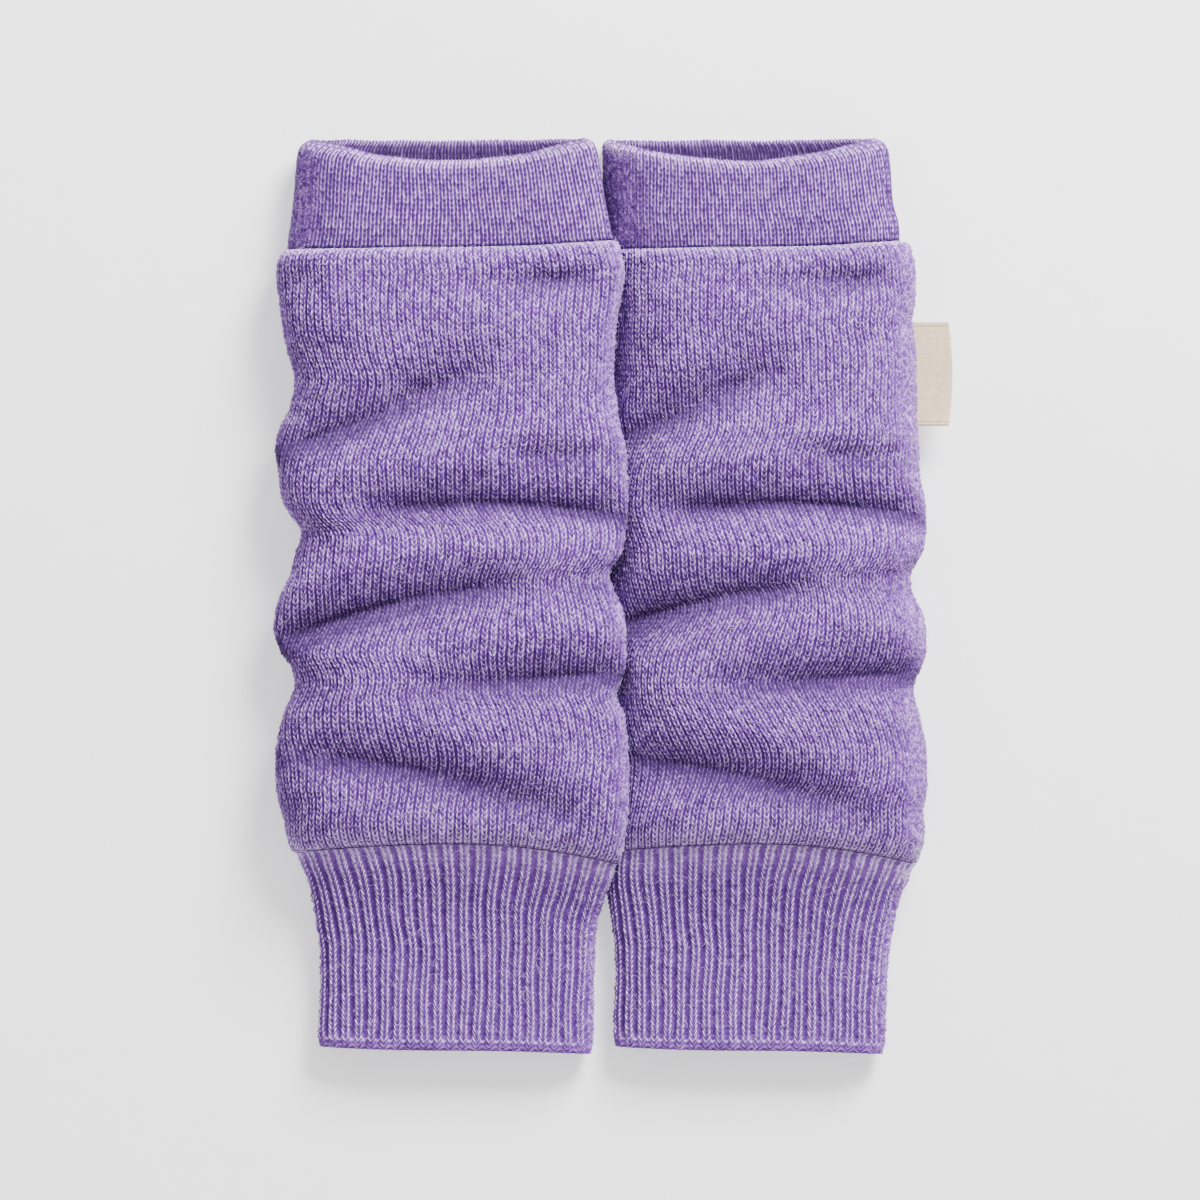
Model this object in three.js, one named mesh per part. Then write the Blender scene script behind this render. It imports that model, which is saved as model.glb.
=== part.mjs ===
// A pair of slouched knitted leg warmers lying side by side on a flat surface.
// Millimetres. +X runs across the pair, +Y towards the top cuffs, +Z up off the surface.
// Each leg warmer is a soft, hollow tube: a doubled top cuff, a plain knit leg with slouch
// folds, and a ribbed lower cuff. The left tube leans on the edge of the right one, and a
// small folded tab is sewn into the right one's outer side.
import * as THREE from "three";

// Driving sizes.
const LENGTH = 348.5;
const LEFT_AXIS_X = -61.87;
const RIGHT_AXIS_X = 50.63;
const LEG_WALL = 2.6;
const CUFF_WALL = 3.0;
const RIB_WALL = 2.6;
const SEAM_GAP = 0.3;
const BOWED_SEAM_GAP = 0.45;

// Seams and ends, as distances from the top rim down the middle of the upper layer.
const RIM = 8.7;
const CUFF_SEAM = 41.5;
const RIB_SEAM = 268.0;
const HEM = 347.0;

// Rib relief: where each rib's valley and its two crest edges are, as shares of its width.
const RIB_COUNT = 44;
const RIB_DEPTH = 0.9;
const RIB_SHARES = [0, 0.27, 0.73];

// How far the outline reaches from a tube's axis, by distance from the rim: the left side of
// both tubes, the left tube's right side, and the right tube's outer side.
const SIDES = [
  { at: 0.0, left: -53.5, right: 51.5, outer: 49.5 },
  { at: 1.5, left: -56.0, right: 53.4, outer: 51.6 },
  { at: 4.6, left: -58.3, right: 54.7, outer: 53.4 },
  { at: 12.0, left: -59.1, right: 56.0, outer: 54.1 },
  { at: 24.0, left: -59.9, right: 58.0, outer: 55.2 },
  { at: 33.0, left: -61.0, right: 60.0, outer: 57.2 },
  { at: 38.7, left: -62.0, right: 61.6, outer: 57.8 },
  { at: 40.2, left: -62.3, right: 63.6, outer: 60.8 },
  { at: 42.0, left: -62.8, right: 64.2, outer: 61.8 },
  { at: 43.6, left: -65.2, right: 64.6, outer: 62.3 },
  { at: 50.0, left: -66.8, right: 65.6, outer: 63.2 },
  { at: 61.0, left: -65.6, right: 64.0, outer: 63.6 },
  { at: 70.5, left: -64.2, right: 62.5, outer: 62.4 },
  { at: 80.0, left: -62.5, right: 62.0, outer: 63.5 },
  { at: 92.0, left: -59.8, right: 61.8, outer: 64.0 },
  { at: 103.5, left: -62.2, right: 62.8, outer: 63.8 },
  { at: 111.0, left: -66.0, right: 64.2, outer: 64.6 },
  { at: 118.5, left: -67.4, right: 66.1, outer: 65.2 },
  { at: 127.0, left: -65.7, right: 66.7, outer: 64.6 },
  { at: 137.5, left: -64.1, right: 67.5, outer: 66.8 },
  { at: 144.0, left: -60.8, right: 67.4, outer: 67.8 },
  { at: 149.5, left: -56.9, right: 66.8, outer: 67.7 },
  { at: 156.5, left: -58.8, right: 65.4, outer: 66.2 },
  { at: 166.5, left: -61.4, right: 59.9, outer: 61.4 },
  { at: 172.0, left: -64.2, right: 61.4, outer: 62.2 },
  { at: 179.5, left: -66.7, right: 64.4, outer: 65.6 },
  { at: 186.0, left: -67.5, right: 65.9, outer: 67.1 },
  { at: 195.0, left: -65.3, right: 66.7, outer: 67.6 },
  { at: 202.0, left: -60.3, right: 66.0, outer: 65.6 },
  { at: 208.0, left: -59.3, right: 63.8, outer: 63.0 },
  { at: 211.5, left: -60.4, right: 62.5, outer: 62.6 },
  { at: 220.0, left: -63.8, right: 65.8, outer: 64.9 },
  { at: 235.0, left: -66.9, right: 67.3, outer: 67.9 },
  { at: 246.0, left: -66.6, right: 67.5, outer: 68.1 },
  { at: 256.0, left: -64.7, right: 67.4, outer: 66.2 },
  { at: 266.5, left: -62.6, right: 66.3, outer: 66.9 },
  { at: 270.6, left: -61.3, right: 65.6, outer: 66.0 },
  { at: 272.2, left: -59.2, right: 65.3, outer: 65.6 },
  { at: 275.6, left: -57.8, right: 64.2, outer: 64.4 },
  { at: 277.2, left: -57.3, right: 62.4, outer: 62.8 },
  { at: 282.0, left: -55.3, right: 60.9, outer: 61.2 },
  { at: 290.0, left: -53.3, right: 57.8, outer: 57.8 },
  { at: 299.0, left: -51.8, right: 55.0, outer: 55.6 },
  { at: 309.0, left: -50.3, right: 54.5, outer: 54.0 },
  { at: 328.0, left: -50.6, right: 54.1, outer: 52.9 },
  { at: 344.0, left: -50.8, right: 53.7, outer: 52.5 },
  { at: 348.5, left: -49.6, right: 53.0, outer: 51.5 },
];

// The upper layer's height down its middle, and how much further from the rim a ring lies at
// each side than there.
const CROWN = [
  { at: 8.7, height: 19.6, bowLeft: -8.3, bowRight: -8.7 },
  { at: 10.4, height: 21.4, bowLeft: -7.9, bowRight: -8.4 },
  { at: 14.0, height: 22.2, bowLeft: -6.4, bowRight: -7.2 },
  { at: 24.0, height: 23.4, bowLeft: -2.4, bowRight: -5.0 },
  { at: 34.0, height: 24.8, bowLeft: -0.2, bowRight: -3.6 },
  { at: 41.5, height: 25.0, bowLeft: 0.4, bowRight: -2.8 },
  { at: 42.6, height: 28.2, bowLeft: 0.4, bowRight: -2.6 },
  { at: 45.5, height: 31.0, bowLeft: 0.4, bowRight: -2.2 },
  { at: 52.0, height: 32.8, bowLeft: 0.3, bowRight: -1.6 },
  { at: 75.0, height: 33.2, bowLeft: 0, bowRight: 0 },
  { at: 96.0, height: 32.6, bowLeft: 0, bowRight: 0 },
  { at: 122.0, height: 34.6, bowLeft: 0, bowRight: 0 },
  { at: 152.0, height: 34.4, bowLeft: 0, bowRight: 0 },
  { at: 184.0, height: 35.4, bowLeft: 0, bowRight: 0 },
  { at: 220.0, height: 35.0, bowLeft: 0.6, bowRight: 2.0 },
  { at: 242.0, height: 34.8, bowLeft: 1.7, bowRight: 4.6 },
  { at: 256.0, height: 33.0, bowLeft: 2.7, bowRight: 6.6 },
  { at: 263.0, height: 30.6, bowLeft: 3.2, bowRight: 7.5 },
  { at: 266.6, height: 27.6, bowLeft: 3.4, bowRight: 7.9 },
  { at: 268.0, height: 25.2, bowLeft: 3.5, bowRight: 8.0 },
  { at: 272.0, height: 24.0, bowLeft: 3.4, bowRight: 7.8 },
  { at: 282.0, height: 20.4, bowLeft: 2.4, bowRight: 6.6 },
  { at: 295.0, height: 17.0, bowLeft: 1.0, bowRight: 4.6 },
  { at: 312.0, height: 15.0, bowLeft: -0.4, bowRight: 3.0 },
  { at: 332.0, height: 14.2, bowLeft: -1.1, bowRight: 2.0 },
  { at: 345.8, height: 14.0, bowLeft: -1.4, bowRight: 1.5 },
  { at: 347.0, height: 13.4, bowLeft: -1.4, bowRight: 1.5 },
];

// Slouch folds of the upper layer. Each is a trough that runs across the tube through three
// places (x from the axis, at from the rim), with its depth at each. above and below are how
// far its two sides reach.
const FOLDS = [
  { x: [24, 41, 60], at: [53, 53.2, 52], depth: [0, 2.8, 1.2], above: 3.6, below: 6 },
  { x: [-66, -57, -46], at: [56.5, 57.5, 60], depth: [1.6, 1.8, 0], above: 4, below: 5 },
  { x: [-68, -28, 14], at: [113.5, 108.5, 88], depth: [7.0, 5.6, 0.3], above: 6.5, below: 6 },
  { x: [-40, 12, 66], at: [141, 137.6, 142.5], depth: [0, 7.6, 6.6], above: 6.2, below: 6.5 },
  { x: [-69, -24, 30], at: [184.5, 172, 167.5], depth: [10.0, 9.0, 0], above: 6.5, below: 7 },
  { x: [-28, 20, 67], at: [209.5, 207, 206.5], depth: [0, 7.8, 9.2], above: 6.2, below: 5.5 },
  { x: [-68, -14, 52], at: [230, 234.5, 257], depth: [4.5, 7.2, 1.6], above: 6, below: 8 },
  { x: [36, 52, 68], at: [171, 168.5, 166.5], depth: [0, 2.0, 4.4], above: 4, below: 5 },
  { x: [-68, -57, -40], at: [205.5, 207, 210], depth: [3.6, 2.2, 0], above: 4.5, below: 5 },
  { x: [-68, -56, -38], at: [150.5, 153, 158], depth: [5.0, 3.0, 0], above: 5, below: 5 },
  { x: [-67, -60, -50], at: [252.5, 253, 254], depth: [1.6, 1.2, 0], above: 3, below: 3 },
];
const FOLD_SOFTNESS = 1.3;
const FOLD_END_FADE = 8;

// Creases of the underside, where a side valley runs on beneath the tube.
const UNDER_CREASES = [
  { at: 92, side: -1, depth: 2.2 },
  { at: 150, side: -1, depth: 3.0 },
  { at: 167, side: 1, depth: 2.6 },
  { at: 207, side: -1, depth: 2.4 },
  { at: 211, side: 1, depth: 2.4 },
];
const UNDER_CREASE_REACH = 5;
const UNDER_CREASE_START = 0.45;

// How the tubes lie: widest is the share of the height where a side is widest, and over and
// under say how square the side is above and below that place. tuck is the furthest that the
// left side reaches, as the right tube's is pushed in by its neighbour.
const LEAN_LEFT = {
  left: { widest: 0.42, over: 4.0, under: 8.0 },
  right: { widest: 0.68, over: 4.0, under: 5.0 },
  outerColumn: "right",
  tuck: 75,
  contactSide: -1,
};
const LEAN_RIGHT = {
  left: { widest: 0.14, over: 2.6, under: 5.0 },
  right: { widest: 0.42, over: 4.0, under: 8.0 },
  outerColumn: "outer",
  tuck: 55.4,
  contactSide: 1,
};
const UPRIGHT = { widest: 0.45, over: 5.0, under: 9.0 };
const UPRIGHT_FROM = 266;
const UPRIGHT_TO = 305;

// The slanting face where the tubes touch: x = CONTACT_X + CONTACT_SLOPE * z.
const CONTACT_X = -9.07;
const CONTACT_SLOPE = 0.65;
const CONTACT_GAP = 0.5;
const CONTACT_SOFTNESS = 1.6;

// How much of the rounded underside the surface presses flat.
const FLATTEN = 0.6;

// The folded tab at the right tube's outer side.
const TAB = {
  from: 70.0,
  to: 109.3,
  edge: 78.1,
  bulge: 1.5,
  thickness: 1.1,
  level: 13.6,
  droop: 1.4,
};

const DENSE_STEPS = 240;

const clamp = (v, low, high) => Math.min(high, Math.max(low, v));
const mix = (a, b, t) => a + (b - a) * t;
const smooth = (t) => t * t * (3 - 2 * t);
const softMin = (a, b, k) => (a + b - Math.hypot(a - b, k)) / 2;
const softMax = (a, b, k) => (a + b + Math.hypot(a - b, k)) / 2;

// One column of a table at a place, through a smooth curve that doesn't overshoot.
function read(table, column, at) {
  const last = table.length - 1;
  if (at <= table[0].at) return table[0][column];
  if (at >= table[last].at) return table[last][column];
  let i = 0;
  while (table[i + 1].at < at) i += 1;
  const slope = (j) => (table[j + 1][column] - table[j][column]) / (table[j + 1].at - table[j].at);
  const tangent = (j) => {
    if (j === 0 || j === last) return 0;
    const before = slope(j - 1);
    const after = slope(j);
    return before * after <= 0 ? 0 : (2 * before * after) / (before + after);
  };
  const step = table[i + 1].at - table[i].at;
  const t = (at - table[i].at) / step;
  const bend = step * (tangent(i) * t * (1 - t) * (1 - t) - tangent(i + 1) * t * t * (1 - t));
  return mix(table[i][column], table[i + 1][column], smooth(t)) + bend;
}

// A parabola through a fold's three places.
function through(xs, values, x) {
  const [x0, x1, x2] = xs;
  const [v0, v1, v2] = values;
  const w0 = ((x - x1) * (x - x2)) / ((x0 - x1) * (x0 - x2));
  const w1 = ((x - x0) * (x - x2)) / ((x1 - x0) * (x1 - x2));
  const w2 = ((x - x0) * (x - x1)) / ((x2 - x0) * (x2 - x1));
  return v0 * w0 + v1 * w1 + v2 * w2;
}

// How far the folds draw the upper layer down at a place.
function foldDepth(x, at) {
  let depth = 0;
  for (const fold of FOLDS) {
    const along = clamp(x, fold.x[0], fold.x[2]);
    const past = Math.abs(x - along) / FOLD_END_FADE;
    if (past >= 1) continue;
    const line = through(fold.x, fold.at, along);
    const tilt = through(fold.x, fold.at, along + 0.5) - through(fold.x, fold.at, along - 0.5);
    const off = (at - line) / Math.hypot(1, tilt);
    const reach = off < 0 ? fold.above : fold.below;
    const fall = Math.exp((FOLD_SOFTNESS - Math.hypot(off, FOLD_SOFTNESS)) / reach);
    depth += Math.max(0, through(fold.x, fold.depth, along)) * fall * (1 - smooth(past));
  }
  return depth;
}

// How far the underside's creases lift it at a place.
function creaseLift(share, at) {
  let lift = 0;
  for (const crease of UNDER_CREASES) {
    const out = clamp((share * crease.side - UNDER_CREASE_START) / (1 - UNDER_CREASE_START), 0, 1);
    const off = (at - crease.at) / UNDER_CREASE_REACH;
    lift += crease.depth * smooth(out) * Math.exp(-off * off);
  }
  return lift;
}

// One side's way of lying, eased to upright towards the lower cuff.
function lieOf(lean, name, at) {
  const ease = smooth(clamp((at - UPRIGHT_FROM) / (UPRIGHT_TO - UPRIGHT_FROM), 0, 1));
  const side = lean[name];
  return {
    widest: mix(side.widest, UPRIGHT.widest, ease),
    over: mix(side.over, UPRIGHT.over, ease),
    under: mix(side.under, UPRIGHT.under, ease),
  };
}

// A point of a tube's skin at an angle round its section: -90 degrees is the middle of the
// underside, 0 the right side and 90 the middle of the upper layer. inset is 0 on the outside
// and the wall's thickness on the inside.
function skinPoint(tube, at, angle, inset) {
  const { lean } = tube;
  const bowLeft = read(CROWN, "bowLeft", at);
  const bowRight = read(CROWN, "bowRight", at);
  const height = read(CROWN, "height", at) - inset;
  const left = softMax(read(SIDES, "left", at + bowLeft), -lean.tuck, 1) + inset;
  const right = read(SIDES, lean.outerColumn, at + bowRight) - inset;
  const cosine = Math.cos(angle);
  const sine = Math.sin(angle);
  const side = lieOf(lean, cosine < 0 ? "left" : "right", at);
  const share = Math.sign(cosine) * Math.abs(cosine) ** (2 / (sine > 0 ? side.over : side.under));
  const across = (share + 1) / 2;
  const level = mix(lieOf(lean, "left", at).widest, lieOf(lean, "right", at).widest, across);
  const widest = height * level;
  const upperBow = share * share * (share < 0 ? bowLeft : bowRight);
  const place = at + (sine > 0 ? upperBow : mix(bowLeft, bowRight, across));
  let x = mix(left, right, across);
  let z;
  if (sine > 0) {
    z = widest + (height - widest) * sine - foldDepth(x, place) * smooth(sine);
  } else {
    z = inset + Math.max(0, (widest - inset) * (1 + sine) - FLATTEN) + creaseLift(share, place);
    z = mix(z, widest, (1 + sine) ** 8);
  }
  x += tube.axisX;
  const face = CONTACT_X + CONTACT_SLOPE * z;
  const clear = CONTACT_GAP / 2 + inset * Math.hypot(1, CONTACT_SLOPE);
  if (lean.contactSide < 0) x = softMin(x, face - clear, CONTACT_SOFTNESS);
  else x = softMax(x, face + clear, CONTACT_SOFTNESS);
  return new THREE.Vector3(x, LENGTH / 2 - place, z);
}

// A ring of points at the given shares of the section's own length, so that the ribs stay
// evenly spaced.
function ring(tube, at, shares, inset = 0) {
  const dense = [];
  const lengths = [0];
  for (let i = 0; i <= DENSE_STEPS; i += 1) {
    const angle = (i / DENSE_STEPS) * 2 * Math.PI - Math.PI / 2;
    dense.push(skinPoint(tube, at, angle, inset));
    if (i > 0) lengths.push(lengths[i - 1] + dense[i].distanceTo(dense[i - 1]));
  }
  const whole = lengths[DENSE_STEPS];
  let i = 0;
  return shares.map((share) => {
    while (lengths[i + 1] < share * whole) i += 1;
    const t = (share * whole - lengths[i]) / (lengths[i + 1] - lengths[i]);
    return dense[i].clone().lerp(dense[i + 1], t);
  });
}

// Outward directions of a grid of rings, from the neighbours of each point. At the two end
// rings they lie square to the tube, so that a seam's faces stay parallel.
function outward(rings) {
  const around = rings[0].length;
  const last = rings.length - 1;
  return rings.map((points, r) =>
    points.map((_, c) => {
      const before = rings[Math.max(0, r - 1)][c];
      const after = rings[Math.min(last, r + 1)][c];
      const along = after.clone().sub(before);
      const across = points[(c + 1) % around].clone().sub(points[(c + around - 1) % around]);
      const direction = across.cross(along);
      if (r === 0 || r === last) direction.y = 0;
      return direction.normalize();
    }),
  );
}

// Collects the points and faces of one closed skin.
class Skin {
  constructor() {
    this.points = [];
    this.faces = [];
  }

  add(points) {
    const first = this.points.length;
    this.points.push(...points);
    return points.map((_, i) => first + i);
  }

  // A closed band between two rings with the same number of points, each of its squares
  // split along the shorter diagonal.
  band(one, two) {
    const span = (p, q) => this.points[p].distanceTo(this.points[q]);
    one.forEach((a, i) => {
      const next = (i + 1) % one.length;
      const [b, c, d] = [one[next], two[next], two[i]];
      if (span(a, c) < span(b, d)) this.faces.push([a, c, b], [a, d, c]);
      else this.faces.push([a, d, b], [b, d, c]);
    });
  }

  // A closed band between a ring and one with fewer points, a few of the first to each.
  narrowing(many, few, flipped) {
    const per = many.length / few.length;
    const face = (a, b, c) => this.faces.push(flipped ? [a, c, b] : [a, b, c]);
    few.forEach((here, i) => {
      const next = few[(i + 1) % few.length];
      for (let k = 0; k < per; k += 1) {
        const a = many[i * per + k];
        const b = many[(i * per + k + 1) % many.length];
        face(b, a, k < per - 1 ? here : next);
      }
      face(many[i * per + per - 1], here, next);
    });
  }

  mesh(name, material) {
    const geometry = new THREE.BufferGeometry();
    const positions = new Float32Array(this.points.flatMap((p) => [p.x, p.y, p.z]));
    geometry.setAttribute("position", new THREE.BufferAttribute(positions, 3));
    geometry.setIndex(this.faces.flat());
    geometry.computeVertexNormals();
    const made = new THREE.Mesh(geometry, material);
    made.name = name;
    return made;
  }
}

const evenly = (from, to, count) =>
  Array.from({ length: count + 1 }, (_, i) => mix(from, to, i / count));

// Shares of the way round a section, closer together over the top and sides than beneath.
const UNDER_SHARE = 0.18;
const UNDER_STEPS = 3;
const TOP_STEPS = 22;
const TUBE_SHARES = [
  ...evenly(0, UNDER_SHARE, UNDER_STEPS),
  ...evenly(UNDER_SHARE, 1 - UNDER_SHARE, TOP_STEPS).slice(1),
  ...evenly(1 - UNDER_SHARE, 1, UNDER_STEPS).slice(1, -1),
];

// A wall between an outer and an inner stack of rings. It is closed at both ends, at the
// first one round an edge ring where there is one.
function wall(outer, inner, edge) {
  const skin = new Skin();
  const out = outer.map((points) => skin.add(points));
  const inside = inner.map((points) => skin.add(points));
  for (let r = 0; r < out.length - 1; r += 1) skin.band(out[r + 1], out[r]);
  for (let r = 0; r < inside.length - 1; r += 1) skin.band(inside[r], inside[r + 1]);
  const rim = edge ? skin.add(edge) : out[0];
  if (edge) skin.band(out[0], rim);
  skin.band(rim, inside[0]);
  skin.band(inside[inside.length - 1], out[out.length - 1]);
  return skin;
}

// The plain knit leg. Its outside rounds over at a shoulder by each of its two seams.
function knitLeg(tube, material) {
  const top = CUFF_SEAM + SEAM_GAP;
  const foot = RIB_SEAM - BOWED_SEAM_GAP;
  const middle = evenly(51, 259.5, 46);
  const outer = [top, top + 0.9, top + 3.6, ...middle, 263.5, 266.4, foot].map((at) =>
    ring(tube, at, TUBE_SHARES),
  );
  const inner = [top, ...middle, foot].map((at) => ring(tube, at, TUBE_SHARES, LEG_WALL));
  return wall(outer, inner).mesh(tube.name + "_leg", material);
}

// The top cuff, of two layers folded over at the rim.
function topCuff(tube, material) {
  const fold = RIM + CUFF_WALL / 2;
  const outer = [fold, 14, 22, 32, CUFF_SEAM].map((at) => ring(tube, at, TUBE_SHARES));
  const inner = [fold, 22, CUFF_SEAM].map((at) => ring(tube, at, TUBE_SHARES, CUFF_WALL));
  const edge = ring(tube, RIM, TUBE_SHARES, CUFF_WALL / 2);
  return wall(outer, inner, edge).mesh(tube.name + "_top_cuff", material);
}

// The ribbed cuff, its ribs raised in the outer points over a plain inside. The hem's last
// ring is drawn in a little, as a cast-off edge is.
function ribCuff(tube, material) {
  const places = [RIB_SEAM, 271.5, 277, 284, 293, 307, HEM - 1.2, HEM];
  const innerPlaces = [RIB_SEAM, 277, 293, 307, HEM];
  const valleys = evenly(0, 1, RIB_COUNT).slice(0, -1);
  const shares = valleys.flatMap((valley) => RIB_SHARES.map((part) => valley + part / RIB_COUNT));
  const last = places.length - 1;
  const base = places.map((at) => ring(tube, at, shares));
  const directions = outward(base);
  const outer = base.map((points, r) =>
    points.map((point, c) => {
      const low = r === last || c % RIB_SHARES.length === 0 ? RIB_DEPTH : 0;
      return point.clone().addScaledVector(directions[r][c], -low);
    }),
  );
  const inner = innerPlaces.map((at) => ring(tube, at, valleys, RIB_WALL));
  const skin = new Skin();
  const out = outer.map((points) => skin.add(points));
  const inside = inner.map((points) => skin.add(points));
  for (let r = 0; r < last; r += 1) skin.band(out[r + 1], out[r]);
  for (let r = 0; r < inside.length - 1; r += 1) skin.band(inside[r], inside[r + 1]);
  skin.narrowing(out[0], inside[0], false);
  skin.narrowing(out[last], inside[inside.length - 1], true);
  return skin.mesh(tube.name + "_rib_cuff", material);
}

// The tab is one strip folded over: its two layers lie together, and its fold is the outer edge.
function sewnTab(tube, material) {
  const half = TAB.thickness / 2;
  const middle = (TAB.from + TAB.to) / 2;
  const level = (share) => TAB.level - TAB.droop * share * share;
  const section = (at) => {
    const near = read(SIDES, tube.lean.outerColumn, at) + SEAM_GAP;
    const end = (at - middle) / (TAB.to - TAB.from);
    const far = TAB.edge - TAB.bulge * 4 * end * end;
    const point = (share, side) =>
      new THREE.Vector3(
        tube.axisX + mix(near, far, share),
        LENGTH / 2 - at,
        level(share) + side * half,
      );
    return [
      point(0, -1),
      point(0.5, -1),
      point(0.94, -1),
      point(1, 0),
      point(0.94, 1),
      point(0.5, 1),
      point(0, 1),
    ];
  };
  const skin = new Skin();
  const rings = evenly(TAB.from, TAB.to, 6).map((at) => skin.add(section(at)));
  for (let r = 0; r < rings.length - 1; r += 1) skin.band(rings[r + 1], rings[r]);
  const top = rings[0];
  const foot = rings[rings.length - 1];
  for (let i = 1; i < top.length - 1; i += 1) {
    skin.faces.push([top[0], top[i + 1], top[i]], [foot[0], foot[i], foot[i + 1]]);
  }
  return skin.mesh("sewn_tab", material);
}

const jersey = new THREE.MeshStandardMaterial({ color: 0x9d88b9, roughness: 0.95, metalness: 0 });
const ribbing = new THREE.MeshStandardMaterial({ color: 0x8e77ae, roughness: 0.95, metalness: 0 });
const tape = new THREE.MeshStandardMaterial({ color: 0xd9cdbd, roughness: 0.85, metalness: 0 });

const pair = new THREE.Group();
const left = { name: "left", axisX: LEFT_AXIS_X, lean: LEAN_LEFT };
const right = { name: "right", axisX: RIGHT_AXIS_X, lean: LEAN_RIGHT };
for (const tube of [left, right]) {
  pair.add(topCuff(tube, jersey), knitLeg(tube, jersey), ribCuff(tube, ribbing));
}
pair.add(sewnTab(right, tape));

export default pair;
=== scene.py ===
"""A pair of slouched knitted leg warmers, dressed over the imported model.

Each knitted piece is a closed shell on its solid's form. Its grid follows the knit: a few
columns of points for each wale or rib, and rows that rise and fall with the stitches, so the
stitches stand out of the mesh itself. Loose fibres are thin ribbons that start in the knit, and
the sewn tab is a folded strip of tape. The pieces are in millimetres, as in the part's source,
until a mesh is made. The flat sizes, the camera, the light and the floor are in metres.
"""

import math

import bpy
import numpy as np
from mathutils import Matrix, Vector


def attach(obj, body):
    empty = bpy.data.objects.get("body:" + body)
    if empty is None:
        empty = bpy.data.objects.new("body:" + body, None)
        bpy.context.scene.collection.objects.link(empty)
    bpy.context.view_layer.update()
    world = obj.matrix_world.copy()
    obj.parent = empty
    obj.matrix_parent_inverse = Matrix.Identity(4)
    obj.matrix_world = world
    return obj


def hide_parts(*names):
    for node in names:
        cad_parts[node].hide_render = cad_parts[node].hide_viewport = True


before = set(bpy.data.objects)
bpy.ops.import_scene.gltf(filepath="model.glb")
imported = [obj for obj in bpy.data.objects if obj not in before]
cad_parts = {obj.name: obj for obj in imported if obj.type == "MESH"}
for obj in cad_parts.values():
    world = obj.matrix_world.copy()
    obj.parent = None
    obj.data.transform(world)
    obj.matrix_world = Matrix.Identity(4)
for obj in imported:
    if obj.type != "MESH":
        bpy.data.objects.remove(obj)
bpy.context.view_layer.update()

MM = 0.001

# Main sizes, repeated from the part's source.
LENGTH = 348.5
LEFT_AXIS_X = -61.87
RIGHT_AXIS_X = 50.63
LEG_WALL = 2.6
CUFF_WALL = 3.0
RIB_WALL = 2.6
SEAM_GAP = 0.3
RIM = 8.7
CUFF_SEAM = 41.5
RIB_SEAM = 268.0
HEM = 347.0
RIB_COUNT = 44


def table(columns, *rows):
    """A table with named columns."""
    return {name: np.array([row[i] for row in rows], float) for i, name in enumerate(columns.split())}


def rows_of(columns, *rows):
    """Rows with named columns."""
    return [dict(zip(columns.split(), row)) for row in rows]


# How far the outline reaches from a tube's axis, by distance from the rim.
SIDES = table(
    "at left right outer",
    (0.0, -53.5, 51.5, 49.5),
    (1.5, -56.0, 53.4, 51.6),
    (4.6, -58.3, 54.7, 53.4),
    (12.0, -59.1, 56.0, 54.1),
    (24.0, -59.9, 58.0, 55.2),
    (33.0, -61.0, 60.0, 57.2),
    (38.7, -62.0, 61.6, 57.8),
    (40.2, -62.3, 63.6, 60.8),
    (42.0, -62.8, 64.2, 61.8),
    (43.6, -65.2, 64.6, 62.3),
    (50.0, -66.8, 65.6, 63.2),
    (61.0, -65.6, 64.0, 63.6),
    (70.5, -64.2, 62.5, 62.4),
    (80.0, -62.5, 62.0, 63.5),
    (92.0, -59.8, 61.8, 64.0),
    (103.5, -62.2, 62.8, 63.8),
    (111.0, -66.0, 64.2, 64.6),
    (118.5, -67.4, 66.1, 65.2),
    (127.0, -65.7, 66.7, 64.6),
    (137.5, -64.1, 67.5, 66.8),
    (144.0, -60.8, 67.4, 67.8),
    (149.5, -56.9, 66.8, 67.7),
    (156.5, -58.8, 65.4, 66.2),
    (166.5, -61.4, 59.9, 61.4),
    (172.0, -64.2, 61.4, 62.2),
    (179.5, -66.7, 64.4, 65.6),
    (186.0, -67.5, 65.9, 67.1),
    (195.0, -65.3, 66.7, 67.6),
    (202.0, -60.3, 66.0, 65.6),
    (208.0, -59.3, 63.8, 63.0),
    (211.5, -60.4, 62.5, 62.6),
    (220.0, -63.8, 65.8, 64.9),
    (235.0, -66.9, 67.3, 67.9),
    (246.0, -66.6, 67.5, 68.1),
    (256.0, -64.7, 67.4, 66.2),
    (266.5, -62.6, 66.3, 66.9),
    (270.6, -61.3, 65.6, 66.0),
    (272.2, -59.2, 65.3, 65.6),
    (275.6, -57.8, 64.2, 64.4),
    (277.2, -57.3, 62.4, 62.8),
    (282.0, -55.3, 60.9, 61.2),
    (290.0, -53.3, 57.8, 57.8),
    (299.0, -51.8, 55.0, 55.6),
    (309.0, -50.3, 54.5, 54.0),
    (328.0, -50.6, 54.1, 52.9),
    (344.0, -50.8, 53.7, 52.5),
    (348.5, -49.6, 53.0, 51.5),
)

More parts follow.
